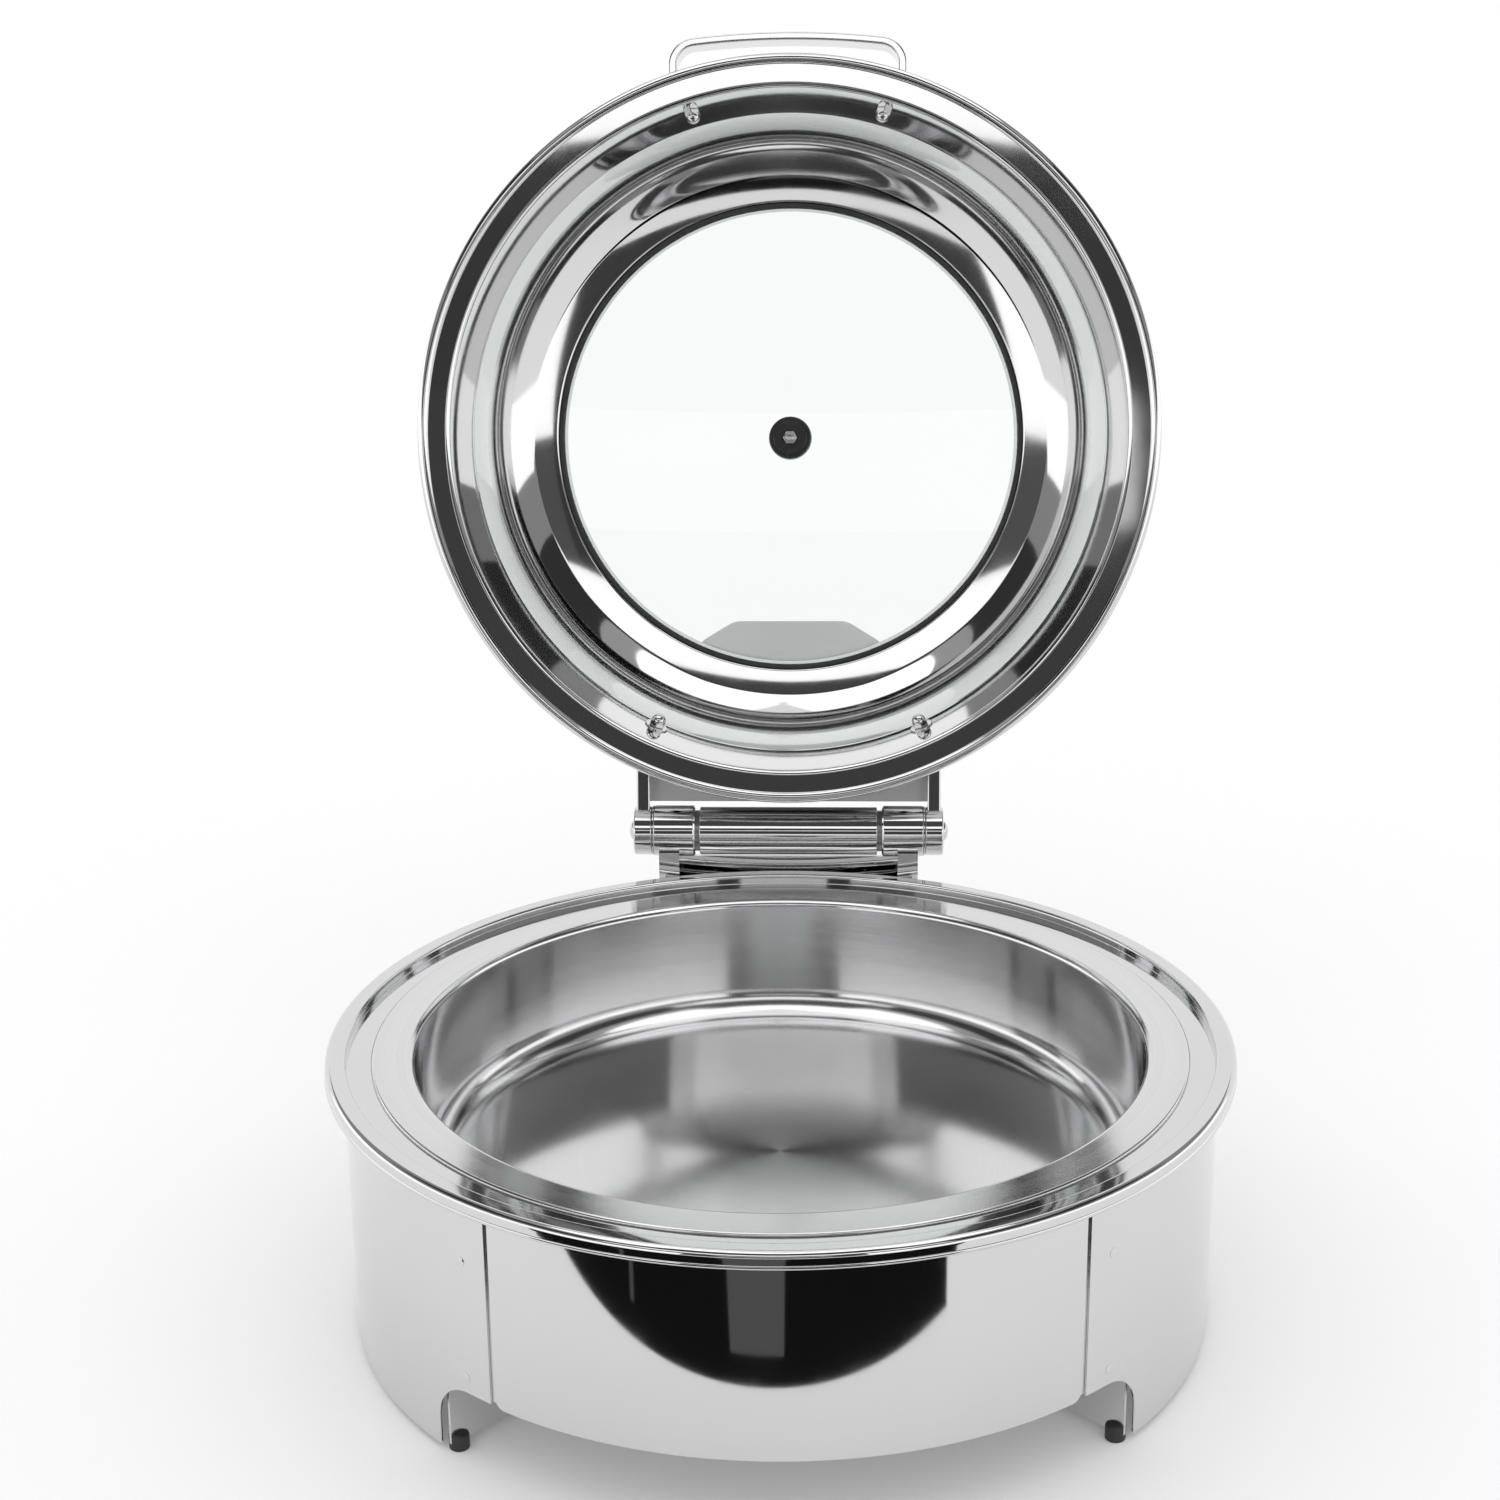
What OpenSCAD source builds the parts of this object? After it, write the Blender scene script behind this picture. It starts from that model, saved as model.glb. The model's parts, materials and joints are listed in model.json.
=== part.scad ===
// Round hinged-lid chafer: a stand, a water pan, a lift-out food pan and a glass-windowed
// dome lid on a friction hinge. Origin: the base's axis on the table. +Z up, front towards -Y.
// The model is drawn with the lid open, which is its rest pose.

/* [Base] */
// Outer diameter of the water pan's rim
rim_d = 450; // [380:1:520]
// Height of the top of the rim above the table
rim_h = 143.5; // [125:0.5:200]
// Distance from the rim's outer edge in to the skirt panels
skirt_inset = 8.7; // [6:0.1:12]
// Thickness of the skirt panels and of the inner frame behind them
skirt_t = 1.2; // [0.8:0.1:2]
// Height of the lower edge of the front and rear aprons above the table
apron_lift = 38.5; // [20:0.5:60]
// Height of the lower edge of the side panels above the table
side_lift = 3.5; // [2:0.5:8]
// Angle of each seam from the front or rear centre line
seam_angle = 37.5; // [30:0.5:44]
// Width of the open seam between two panels
seam_gap = 2.8; // [1:0.1:5]
// Turn of the stand under the pans and the hinge, anticlockwise from above
stand_turn = 2.5; // [-5:0.1:5]

/* [Legs] */
// Angle from a seam to the edge of the leg beside it
leg_step = 9.9; // [7:0.1:14]
// Radius of the large corner of the notch beside a leg
notch_r = 22; // [10:1:30]
// Thickness of a leg web
web_t = 1.5; // [1:0.1:3]
// Diameter of a rubber foot
foot_d = 9.6; // [7:0.1:12]
// Height of a rubber foot
foot_h = 8.5; // [7:0.1:12]

/* [Water pan] */
// Sheet thickness of the water pan
pan_t = 1.2; // [0.8:0.1:2]
// Height of the rim above the ledge that the food pan and the lid rest on
ledge_drop = 4.8; // [3:0.1:10]
// Width of the rim outside the step down to the ledge
rim_w = 10.6; // [9:0.1:14]
// Width of the food pan's flange that lies on the ledge
ledge_lap = 9.5; // [6:0.1:12]
// Depth of the water well below the ledge
well_depth = 83.7; // [70:0.1:95]
// Diameter of the induction plate
disc_d = 260; // [180:1:320]
// Thickness of the induction plate
disc_t = 4; // [2:0.5:8]

/* [Food pan] */
// Width of the food pan's flange from its outer edge to the mouth
flange_w = 21; // [17:0.1:26]
// Draft of the food pan's wall from its mouth to its floor
food_draft = 5.3; // [2:0.1:12]
// Depth of the food pan
food_depth = 65; // [50:1:72]
// Gap between the food pan's flange and the rim's step
flange_gap = 11.9; // [9.5:0.1:16]
// Sheet thickness of the food pan
food_t = 1; // [0.6:0.1:1.2]

/* [Lid] */
// Gap between the closed lid and the rim's step
lid_gap = 2.9; // [1.5:0.1:4]
// Sheet thickness of the lid
lid_t = 1.2; // [0.8:0.1:2]
// Diameter of the lid's rolled edge
bead_d = 6.4; // [4:0.1:8]
// Width of the lid's lip from its outer edge to the steep wall
lip_w = 18.5; // [15:0.1:22]
// Draft of the lid's steep wall
wall_draft = 8.5; // [4:0.1:14]
// Height of the top of the steep wall above the lid's lower edge
crown_h = 35; // [28:1:40]
// Height of the underside of the window seat above the lid's lower edge
seat_h = 73; // [60:1:90]
// Width of the dome between the steep wall and the window seat
dome_w = 32; // [24:0.5:40]
// Radius of the dome between the steep wall and the window seat
dome_r = 80; // [60:1:200]
// Width of the window seat
seat_w = 14; // [10:0.5:30]
// Thickness of the glass
glass_t = 4; // [3:0.5:6]
// Angle that the lid stands open from closed
open_angle = 102.7; // [85:0.1:110]

/* [Handle] */
// Outer width of the handle
handle_w = 134; // [110:1:180]
// Thickness of the handle's strap
strap_t = 4.6; // [3:0.1:7]
// Width of the handle's strap
strap_w = 20; // [12:0.5:24]
// Distance that the grip stands out past the lid's edge
grip_gap = 12.5; // [10:0.5:40]
// Radius of the grip's gentle crown
grip_crown = 485; // [300:5:1000]
// Outer radius of the strap's corners
strap_corner = 15; // [8:0.5:20]
// Distance of each handle bolt in from the handle's end
handle_bolt_in = 12; // [9:0.5:16]

/* [Hinge] */
// Distance of the hinge axis behind the rim's outer edge
hinge_gap = 5.5; // [3:0.5:12]
// Height of the hinge axis above the rim
hinge_rise = 21.9; // [20:0.1:30]
// Diameter of the hinge shaft
shaft_d = 8; // [6:0.5:10]
// Radial running clearance of the shaft in its bushes
run_gap = 0.05; // [0.02:0.01:0.1]
// Length of the centre tube
tube_l = 103.5; // [90:0.5:110]
// Outer diameter of the centre tube
tube_d = 28; // [24:0.5:32]
// Wall thickness of the centre tube
tube_t = 1.5; // [1:0.1:3]
// Outer diameter of the two sleeves
sleeve_d = 29.6; // [26:0.1:34]
// Length of the neck between the centre tube and a sleeve
neck_l = 2.65; // [1:0.05:5]
// Length of a sleeve
sleeve_l = 24.2; // [18:0.1:28]
// Outer diameter of a hinge bush
bush_d = 18; // [14:0.5:20]
// Thickness of the washer between a sleeve and a knuckle
washer_t = 0.7; // [0.5:0.1:1.5]
// Width of a knuckle
knuckle_w = 10.6; // [8:0.1:14]
// Diameter of a knuckle
knuckle_d = 28.4; // [24:0.1:32]
// Thickness of a lid arm
arm_t = 7.6; // [5:0.1:10]
// Height of a lid arm
arm_h = 13; // [10:0.5:16]
// Thickness of the lid's bracket plate
plate_t = 2.5; // [1.5:0.1:4]
// Half the width of the bracket plate where it lies over the window
tongue_w = 57; // [30:1:70]
// Half the width of the bracket plate at its tip
tip_w = 34; // [15:1:50]

/* [Knob] */
// Diameter of the knob
knob_d = 26; // [20:1:40]
// Height of the knob
knob_h = 8; // [6:0.5:30]
// Diameter of the knob's screw
knob_screw_d = 4.8; // [4:0.1:6]

/* [Fasteners] */
// Shank diameter of the bolts through the lid
lid_bolt_d = 5; // [4:0.5:6]
// Diameter of the screws that hold the hinge bracket
bracket_screw_d = 4; // [3:0.5:5]
// Diameter of a rivet on the side panels
rivet_d = 5; // [3:0.5:8]

/* [Hidden] */
$fn = 96;
clear = 0.1;
snug = 0.02;

// Base, from the rim inwards and downwards.
rim_r = rim_d / 2;
rim_bead_r = 1.4;
rim_round = 3.5;
step_r = rim_r - rim_w;
skirt_r = rim_r - skirt_inset;
skirt_in = skirt_r - skirt_t;
frame_in = skirt_in - skirt_t;
hem_z = rim_h - 8.1;
ring_z = hem_z - 35;
seam_half = arc_angle(seam_gap / 2, skirt_r);
seam_strip = 44.8;
web_angle = seam_angle + leg_step - 1;
rivet_low = apron_lift + 8.5;
rivet_high = ring_z + 5.6;
rivet_step = 16.6;
head_lap = 1;

// Water pan and food pan.
ledge_z = rim_h - ledge_drop;
flange_r = step_r - flange_gap;
well_r = flange_r - ledge_lap;
well_floor = ledge_z - well_depth;
food_r = flange_r - flange_w;
food_base_r = food_r - food_draft;
food_lip = 1.5;
food_top = ledge_z + clear + food_lip;
food_floor = food_top - food_depth;
food_bend = 4;
food_fillet = 15;

// Lid, measured from its axis and its lower edge while it is closed.
lid_z = ledge_z + 0.2;
lid_r = step_r - lid_gap;
bead_r = bead_d / 2;
wall_r = lid_r - lip_w;
crown_r = wall_r - wall_draft;
seat_r = crown_r - dome_w;
window_r = seat_r - seat_w;
lip_z = 2.2;
lip_bend = 3.3;
wall_foot = lip_z + lip_bend;
wall_slope = wall_draft / (crown_h - wall_foot);
wall_tilt = atan(wall_slope);
collar_h = 4;
glass_r = window_r - 1.5;
glass_z = seat_h + 5;
glass_top = glass_z + glass_t;
gasket_wall = 1.2;
gasket_cover = 1;

// Centre of the dome's arc, from its two end points.
dome_rise = seat_h - crown_h;
dome_chord = sqrt(dome_w * dome_w + dome_rise * dome_rise);
dome_back = sqrt(dome_r * dome_r - dome_chord * dome_chord / 4);
dome_cx = (seat_r + crown_r) / 2 - dome_back * dome_rise / dome_chord;
dome_cz = (seat_h + crown_h) / 2 - dome_back * dome_w / dome_chord;

// Handle.
strap_half = handle_w / 2;
handle_bolt_x = strap_half - handle_bolt_in;
handle_bolt_h = 17;
handle_bolt_angle = asin(handle_bolt_x / wall_out(handle_bolt_h));
strap_low = handle_bolt_h - strap_w / 2;
strap_top = strap_low + strap_w;
strap_foot = 31.3;
leg_end_y = sqrt(pow(wall_out(handle_bolt_h) + strap_t / 2, 2) - strap_half * strap_half);
leg_angle = atan(strap_half / leg_end_y);
strap_turn = strap_half - strap_corner;
crown_reach = grip_crown - strap_corner;
crown_fan = asin(strap_turn / crown_reach);
crown_y = grip_crown - lid_r - grip_gap;
corner_y = crown_y - sqrt(crown_reach * crown_reach - strap_turn * strap_turn);

// Hinge, from the centre line outwards.
hinge_y = rim_r + hinge_gap;
hinge_z = rim_h + hinge_rise;
hinge_up = hinge_z - lid_z;
sleeve_in = tube_l / 2 + neck_l;
sleeve_out = sleeve_in + sleeve_l;
knuckle_in = sleeve_out + washer_t + 0.3;
knuckle_out = knuckle_in + knuckle_w;
arm_in = knuckle_in + 1.4;
arm_out = arm_in + arm_t;
arm_low = hinge_up - arm_h / 2;
arm_top = hinge_up + arm_h / 2;
pad_t = 6;
pad_half = 11.8;
stud_h = hinge_up + 1.5;
pad_low = stud_h - 8;
stud_angle = asin((arm_in - 2.86) / wall_out(stud_h));
stud_grip = pad_t - 0.5;
shaft_end = knuckle_out - 1.2;
end_bolt_d = 4;
end_bolt_l = 11;
lug_in = sleeve_in + 9.2;
lug_w = 11.8;
lug_clear = 0.6;
lug_back_y = hinge_y + 1;
bracket_pad_t = 3;
bracket_low = ring_z + 2;
bracket_screw_x = 56;
bracket_nut_h = 3.2;

// Bracket plate of the lid.
plate_low_y = hinge_y - knuckle_d / 2 - 2.3;
plate_knee_y = plate_low_y - 18;
plate_bend_y = seat_r + 1.5;
plate_tip_y = window_r - 28.5;
plate_top_z = glass_top + 4;
plate_rivet_d = 3.2;
plate_rivet_l = 5.5;

STEEL = "gainsboro";
SATIN = "silver";
DARK = [0.08, 0.08, 0.08];
CORNERS = ["front_right", "rear_right", "rear_left", "front_left"];
WEB_AZ = [web_angle, 180 - web_angle, 180 + web_angle, -web_angle];

// ---- helpers -------------------------------------------------------------------------

// Inner and outer radius of the lid's steep wall at a height above the lid's lower edge.
function wall_in(h) = wall_r - wall_slope * (h - wall_foot);
function wall_out(h) = wall_in(h) + lid_t;

// Angle at the centre of an arc of a given length.
function arc_angle(along, r) = along / r * 180 / PI;

// A quarter of a ring in the half plane, towards (sx, sy) from its centre.
module bend(at, ro, ri, sx, sy) {
    translate(at) intersection() {
        difference() {
            circle(ro);
            circle(ri);
        }
        translate([sx > 0 ? 0 : -ro - 1, sy > 0 ? 0 : -ro - 1]) square(ro + 1);
    }
}

// A flat strip of the profile between two corners.
module strip(x0, y0, x1, y1) {
    translate([x0, y0]) square([x1 - x0, y1 - y0]);
}

// A curved wall between two azimuths measured from the front, towards +X.
module wall_sector(ro, ri, z0, z1, az0, az1) {
    rotate([0, 0, az0 - 90]) rotate_extrude(angle = az1 - az0) strip(ri, z0, ro, z1);
}

// Puts children whose +X points outwards at an azimuth from the front.
module at_azimuth(az) {
    rotate([0, 0, az - 90]) children();
}

// A shape drawn in the (across, up) plane, cut outwards through the skirt at an azimuth.
module radial_cut(az, r0, r1) {
    at_azimuth(az) translate([r0, 0, 0]) rotate([90, 0, 90]) linear_extrude(r1 - r0) children();
}

// Turns the panels, the frame, the legs and the feet together.
module stand_pose() {
    rotate([0, 0, stand_turn]) children();
}

module along_x(x0, x1) {
    translate([x0, 0, 0]) rotate([0, 90, 0]) linear_extrude(x1 - x0) children();
}

module tube_x(x0, x1, ro, ri) {
    along_x(x0, x1) difference() {
        circle(ro);
        circle(ri);
    }
}

module at_hinge() {
    translate([0, hinge_y, hinge_z]) children();
}

// Turns lid pieces, drawn closed above the lid's lower edge, to the open rest pose.
module lid_pose() {
    at_hinge() rotate([-open_angle, 0, 0]) translate([0, -hinge_y, -hinge_up]) children();
}

// A bolt hole or shank through the lid's wall, square to the wall's cone.
module at_wall(az, h) {
    at_azimuth(az) translate([wall_out(h), 0, h]) rotate([0, 90 - wall_tilt, 0]) children();
}

// ---- stand ---------------------------------------------------------------------------

module apron(az) {
    half = seam_angle - seam_half;
    corner = 5;
    difference() {
        wall_sector(skirt_r, skirt_in, apron_lift, hem_z, az - half, az + half);
        for (s = [-1, 1]) {
            radial_cut(az + s * half, skirt_in - 5, skirt_r + 5) difference() {
                translate([s > 0 ? -corner : -1, apron_lift - 1]) square(corner + 1);
                translate([-s * corner, apron_lift + corner]) circle(corner);
            }
        }
    }
}

module front_apron() {
    color(STEEL) stand_pose() apron(0);
}

module rear_apron() {
    color(STEEL) difference() {
        stand_pose() apron(180);
        bracket_holes();
    }
}

// The notch beside a leg: open to the seam and to the table, with one large corner.
module notch(s) {
    wide = skirt_r * tan(leg_step - seam_half) + 2;
    high = apron_lift + 1;
    translate([s > 0 ? -wide : 0, -1]) square([wide, high - notch_r + 1]);
    translate([s > 0 ? -wide : notch_r, -1]) square([wide - notch_r, high + 1]);
    translate([-s * notch_r, high - notch_r]) circle(notch_r);
}

module side_panel(az) {
    half = 90 - seam_angle - seam_half;
    leg = 90 - seam_angle - leg_step;
    difference() {
        wall_sector(skirt_r, skirt_in, side_lift, hem_z, az - half, az + half);
        radial_cut(az + leg, skirt_in - 10, skirt_r + 5) notch(-1);
        radial_cut(az - leg, skirt_in - 10, skirt_r + 5) notch(1);
        rivet_holes();
    }
}

module left_side_panel() {
    color(STEEL) stand_pose() side_panel(-90);
}

module right_side_panel() {
    color(STEEL) stand_pose() side_panel(90);
}

// A ring behind the panels' tops, with a strip down behind each seam.
module inner_frame() {
    strip_half = arc_angle(seam_strip / 2, frame_in);
    low = apron_lift + 2;
    front_half = seam_angle - strip_half;
    side_half = 90 - seam_angle - strip_half;
    color(SATIN) difference() {
        stand_pose() difference() {
            wall_sector(skirt_in, frame_in, low, hem_z, 0, 360);
            for (c = [0, 180]) {
                wall_sector(skirt_in + 1, frame_in - 1, low - 1, ring_z, c - front_half, c + front_half);
                wall_sector(skirt_in + 1, frame_in - 1, low - 1, ring_z, c + 90 - side_half, c + 90 + side_half);
            }
            rivet_holes();
        }
        bracket_holes();
    }
}

// A radial plate from the leg's foot up to the inner frame, under the water pan.
module leg_web(az) {
    low = side_lift + 0.5;
    top = hem_z - 10;
    rim = frame_in - clear;
    inner = well_r + pan_t + 0.8;
    shelf = well_floor - pan_t - 3.3;
    tip = frame_in - 60;
    color(SATIN) stand_pose() at_azimuth(az) rotate([90, 0, 0]) translate([0, 0, -web_t / 2]) linear_extrude(web_t)
        polygon([[rim, low], [tip, low], [tip, low + 12], [inner, shelf], [inner, top], [rim, top]]);
}

module foot(az) {
    r = foot_d / 2;
    low_round = 0.8;
    top_round = 2;
    color(DARK) stand_pose() at_azimuth(az) difference() {
        translate([frame_in - r - 0.3, 0, 0]) rotate_extrude() {
            strip(0, low_round, r, foot_h - top_round);
            strip(0, 0, r - low_round, foot_h - top_round);
            strip(0, 0, r - top_round, foot_h);
            bend([r - low_round, low_round], low_round, 0, 1, -1);
            bend([r - top_round, foot_h - top_round], top_round, 0, 1, 1);
        }
        translate([frame_in - 3 * r, -web_t / 2 - snug, side_lift + 0.5])
            cube([4 * r, web_t + 2 * snug, foot_h]);
    }
}

module at_rivets() {
    step = arc_angle(rivet_step, skirt_r);
    for (c = [0, 180], s = [-1, 1], h = [rivet_low, rivet_high]) {
        at_azimuth(c + s * (seam_angle + step)) translate([0, 0, h]) rotate([0, 90, 0]) children();
    }
}

module rivet_holes() {
    at_rivets() translate([0, 0, frame_in - 5]) cylinder(h = 15, d = rivet_d - 2 * head_lap, $fn = 24);
}

module panel_rivets() {
    seat = skirt_r + 0.05;
    shank_d = rivet_d - 2 * head_lap;
    color(STEEL) stand_pose() at_rivets() {
        translate([0, 0, frame_in]) cylinder(h = seat - frame_in + 0.05, d = shank_d, $fn = 24);
        translate([0, 0, seat]) cylinder(h = 0.35, d1 = rivet_d, d2 = rivet_d - 1.5, $fn = 24);
    }
}

// ---- pans ----------------------------------------------------------------------------

module water_pan() {
    fillet = 12;
    turn = 2;
    well_out = well_r + pan_t;
    step_out = step_r + pan_t;
    under = ledge_z - pan_t;
    color(STEEL) rotate_extrude($fn = 180) {
        strip(0, well_floor - pan_t, well_r - fillet, well_floor);
        bend([well_r - fillet, well_floor + fillet], fillet + pan_t, fillet, 1, -1);
        strip(well_r, well_floor + fillet, well_out, under - turn);
        bend([well_out + turn, under - turn], turn + pan_t, turn, -1, 1);
        strip(well_out + turn, under, step_out, ledge_z);
        strip(step_r, under, step_out, rim_h);
        strip(step_r, rim_h - pan_t, rim_r - rim_round, rim_h);
        bend([rim_r - rim_round, rim_h - rim_round], rim_round, rim_round - pan_t, 1, 1);
        strip(rim_r - pan_t, hem_z + rim_bead_r, rim_r, rim_h - rim_round);
        translate([rim_r - rim_bead_r, hem_z + rim_bead_r]) circle(rim_bead_r);
        strip(frame_in, hem_z, rim_r - rim_bead_r, hem_z + 1);
    }
}

module induction_plate() {
    color(SATIN) translate([0, 0, well_floor - pan_t - disc_t]) cylinder(h = disc_t, d = disc_d);
}

module food_pan() {
    knee = food_floor + food_fillet;
    neck = food_top - food_bend;
    color(SATIN) rotate_extrude($fn = 180) {
        strip(0, food_floor - food_t, food_base_r - food_fillet, food_floor);
        bend([food_base_r - food_fillet, knee], food_fillet + food_t, food_fillet, 1, -1);
        polygon([[food_base_r, knee], [food_base_r + food_t, knee], [food_r + food_t, neck], [food_r, neck]]);
        bend([food_r + food_bend, neck], food_bend, food_bend - food_t, -1, 1);
        strip(food_r + food_bend, food_top - food_t, flange_r - food_lip, food_top);
        bend([flange_r - food_lip, food_top - food_lip], food_lip, food_lip - food_t, 1, 1);
    }
}

// ---- lid -----------------------------------------------------------------------------

module lid_profile() {
    foot_r = wall_r + lip_bend;
    translate([lid_r - bead_r, bead_r + clear]) circle(bead_r);
    strip(foot_r, lip_z, lid_r - bead_r, lip_z + lid_t);
    bend([foot_r, wall_foot], lip_bend, lip_bend - lid_t, -1, -1);
    polygon([
        [wall_r, wall_foot], [wall_r + lid_t, wall_foot], [crown_r + lid_t, crown_h], [crown_r, crown_h]
    ]);
    intersection() {
        translate([dome_cx, dome_cz]) difference() {
            circle(dome_r + lid_t, $fn = 180);
            circle(dome_r, $fn = 180);
        }
        strip(seat_r - 0.5, crown_h - 0.6, crown_r + 4, seat_h + lid_t);
    }
    strip(window_r, seat_h, seat_r + 0.2, seat_h + lid_t);
    strip(window_r, seat_h, window_r + lid_t, seat_h + collar_h + lid_t);
}

// The space inside the lid's outer wall, which clears what lies on it.
module wall_core(h0, h1) {
    low_r = wall_out(h0) + snug;
    high_r = wall_out(h1) + snug;
    rotate_extrude($fn = 180) polygon([[0, h0], [low_r, h0], [high_r, h1], [0, h1]]);
}

module at_handle_bolts() {
    for (s = [-1, 1]) at_wall(s * handle_bolt_angle, handle_bolt_h) children();
}

module at_studs() {
    for (s = [-1, 1]) at_wall(180 + s * stud_angle, stud_h) children();
}

module wall_bolt_hole(out) {
    inside = 20;
    translate([0, 0, -inside]) cylinder(h = inside + out, d = lid_bolt_d + 2 * clear, $fn = 32);
}

module lid_shell() {
    color(STEEL) lid_pose() difference() {
        rotate_extrude($fn = 180) lid_profile();
        at_handle_bolts() wall_bolt_hole(5);
        at_studs() wall_bolt_hole(5);
    }
}

module window_glass() {
    color([0.85, 0.93, 0.93, 0.35]) lid_pose() difference() {
        translate([0, 0, glass_z]) cylinder(h = glass_t, r = glass_r);
        translate([0, 0, glass_z - 1]) cylinder(h = glass_t + 2, d = knob_screw_d + 1.2);
    }
}

module window_gasket() {
    inner = glass_r - gasket_cover;
    color(DARK) lid_pose() rotate_extrude($fn = 180) difference() {
        strip(inner, glass_z - gasket_wall, window_r - clear, glass_top + gasket_wall);
        strip(inner - 1, glass_z, glass_r, glass_top);
    }
}

module window_trim_ring() {
    base = glass_top + gasket_wall;
    sheet = 1;
    edge = seat_r - 5;
    color(STEEL) lid_pose() rotate_extrude($fn = 180) {
        strip(glass_r - gasket_cover - 0.5, base, edge, base + sheet);
        strip(edge - sheet, seat_h + lid_t, edge, base);
    }
}

module knob_cap() {
    r = knob_d / 2;
    round_r = 3;
    sink = 3;
    color(DARK) lid_pose() translate([0, 0, glass_top]) difference() {
        rotate_extrude() {
            strip(0, 0, r, knob_h - round_r);
            strip(0, 0, r - round_r, knob_h);
            bend([r - round_r, knob_h - round_r], round_r, 0, 1, 1);
        }
        translate([0, 0, -1]) cylinder(h = knob_h + 2, d = knob_screw_d + 2 * clear);
        translate([0, 0, knob_h - sink]) cylinder(h = sink + 1, d = 10);
    }
}

module knob_washer() {
    color(DARK) lid_pose() translate([0, 0, glass_z]) mirror([0, 0, 1]) difference() {
        union() {
            cylinder(h = 1.5, d = knob_d - 1);
            cylinder(h = 3, d = knob_d - 5);
        }
        translate([0, 0, -1]) cylinder(h = 6, d = knob_screw_d + 2 * clear);
    }
}

// A pan head sunk in the knob, and a shank down through the glass, the washer and the nut.
module knob_screw() {
    seat = glass_top + knob_h - 3;
    tail = glass_z - 6.5;
    color(STEEL) lid_pose() {
        translate([0, 0, tail]) cylinder(h = seat - tail, d = knob_screw_d);
        translate([0, 0, seat]) cylinder(h = 2.5, d = 9);
    }
}

module knob_nut() {
    color(STEEL) lid_pose() translate([0, 0, glass_z - 3]) mirror([0, 0, 1]) difference() {
        cylinder(h = 3, d = knob_screw_d + 3.8, $fn = 6);
        translate([0, 0, -1]) cylinder(h = 6, d = knob_screw_d);
    }
}

// ---- handle --------------------------------------------------------------------------

// Points along the strap's outline, from one leg's end round the grip to the other's.
function arc(at, r, a0, a1, steps) =
    [for (i = [0:steps]) let (a = a0 + (a1 - a0) * i / steps) at + r * [cos(a), sin(a)]];

function strap_line(inset) = concat(
    [[strap_half - inset, -leg_end_y]],
    arc([strap_turn, corner_y], strap_corner - inset, 0, crown_fan - 90, 16),
    arc([0, crown_y], grip_crown - inset, crown_fan - 90, -crown_fan - 90, 16),
    arc([-strap_turn, corner_y], strap_corner - inset, -crown_fan - 90, -180, 16),
    [[inset - strap_half, -leg_end_y]]
);

function reversed(list) = [for (i = [len(list) - 1:-1:0]) list[i]];

module strap() {
    translate([0, 0, strap_low]) linear_extrude(strap_w)
        polygon(concat(strap_line(0), reversed(strap_line(strap_t))));
}

// A block over the wall's outer cone between two azimuths. It reaches in past the cone, to be cut by it.
module wall_pad(az0, az1, h0, h1, thick) {
    at_azimuth(az0) rotate_extrude(angle = az1 - az0, $fn = 180) polygon([
        [wall_out(h0) - 2, h0], [wall_out(h0) + thick, h0],
        [wall_out(h1) + thick, h1], [wall_out(h1) - 2, h1]
    ]);
}

module lid_handle() {
    foot = arc_angle(strap_foot, wall_out(handle_bolt_h));
    past = 0.5;
    inset = 0.2;
    color(STEEL) lid_pose() difference() {
        union() {
            strap();
            for (az = [-leg_angle - past, leg_angle - foot]) {
                wall_pad(az, az + foot + past, strap_low + inset, strap_top - inset, strap_t);
            }
        }
        wall_core(strap_low - 1, strap_top + 1);
        at_handle_bolts() wall_bolt_hole(strap_t + 2);
    }
}

// A shank through the wall, from the nut inside to a height outside.
module wall_shank(grip) {
    inside = lid_t + 5;
    translate([0, 0, -inside]) cylinder(h = inside + grip, d = lid_bolt_d, $fn = 32);
}

// A domed cap nut: a six-sided foot under a dome, closed at its end.
module dome_nut(gap) {
    foot = 3;
    across = lid_bolt_d + 4.5;
    mirror([0, 0, 1]) translate([0, 0, lid_t + gap]) difference() {
        union() {
            cylinder(h = foot, d = across, $fn = 6);
            translate([0, 0, foot]) intersection() {
                sphere(d = across - 1.2, $fn = 32);
                cylinder(h = across, d = across, $fn = 32);
            }
        }
        translate([0, 0, -1]) cylinder(h = 6 - gap, d = lid_bolt_d, $fn = 32);
    }
}

module handle_bolts() {
    grip = strap_t + 0.3;
    head_d = 1.4 * lid_bolt_d;
    head_h = 2.2;
    color(STEEL) lid_pose() at_handle_bolts() {
        wall_shank(grip);
        translate([0, 0, grip]) intersection() {
            cylinder(h = head_h, d = head_d, $fn = 32);
            translate([0, 0, head_h - head_d]) sphere(head_d, $fn = 32);
        }
    }
}

module handle_nuts() {
    color(STEEL) lid_pose() at_handle_bolts() dome_nut(0.2);
}

// ---- lid's half of the hinge ---------------------------------------------------------

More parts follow.
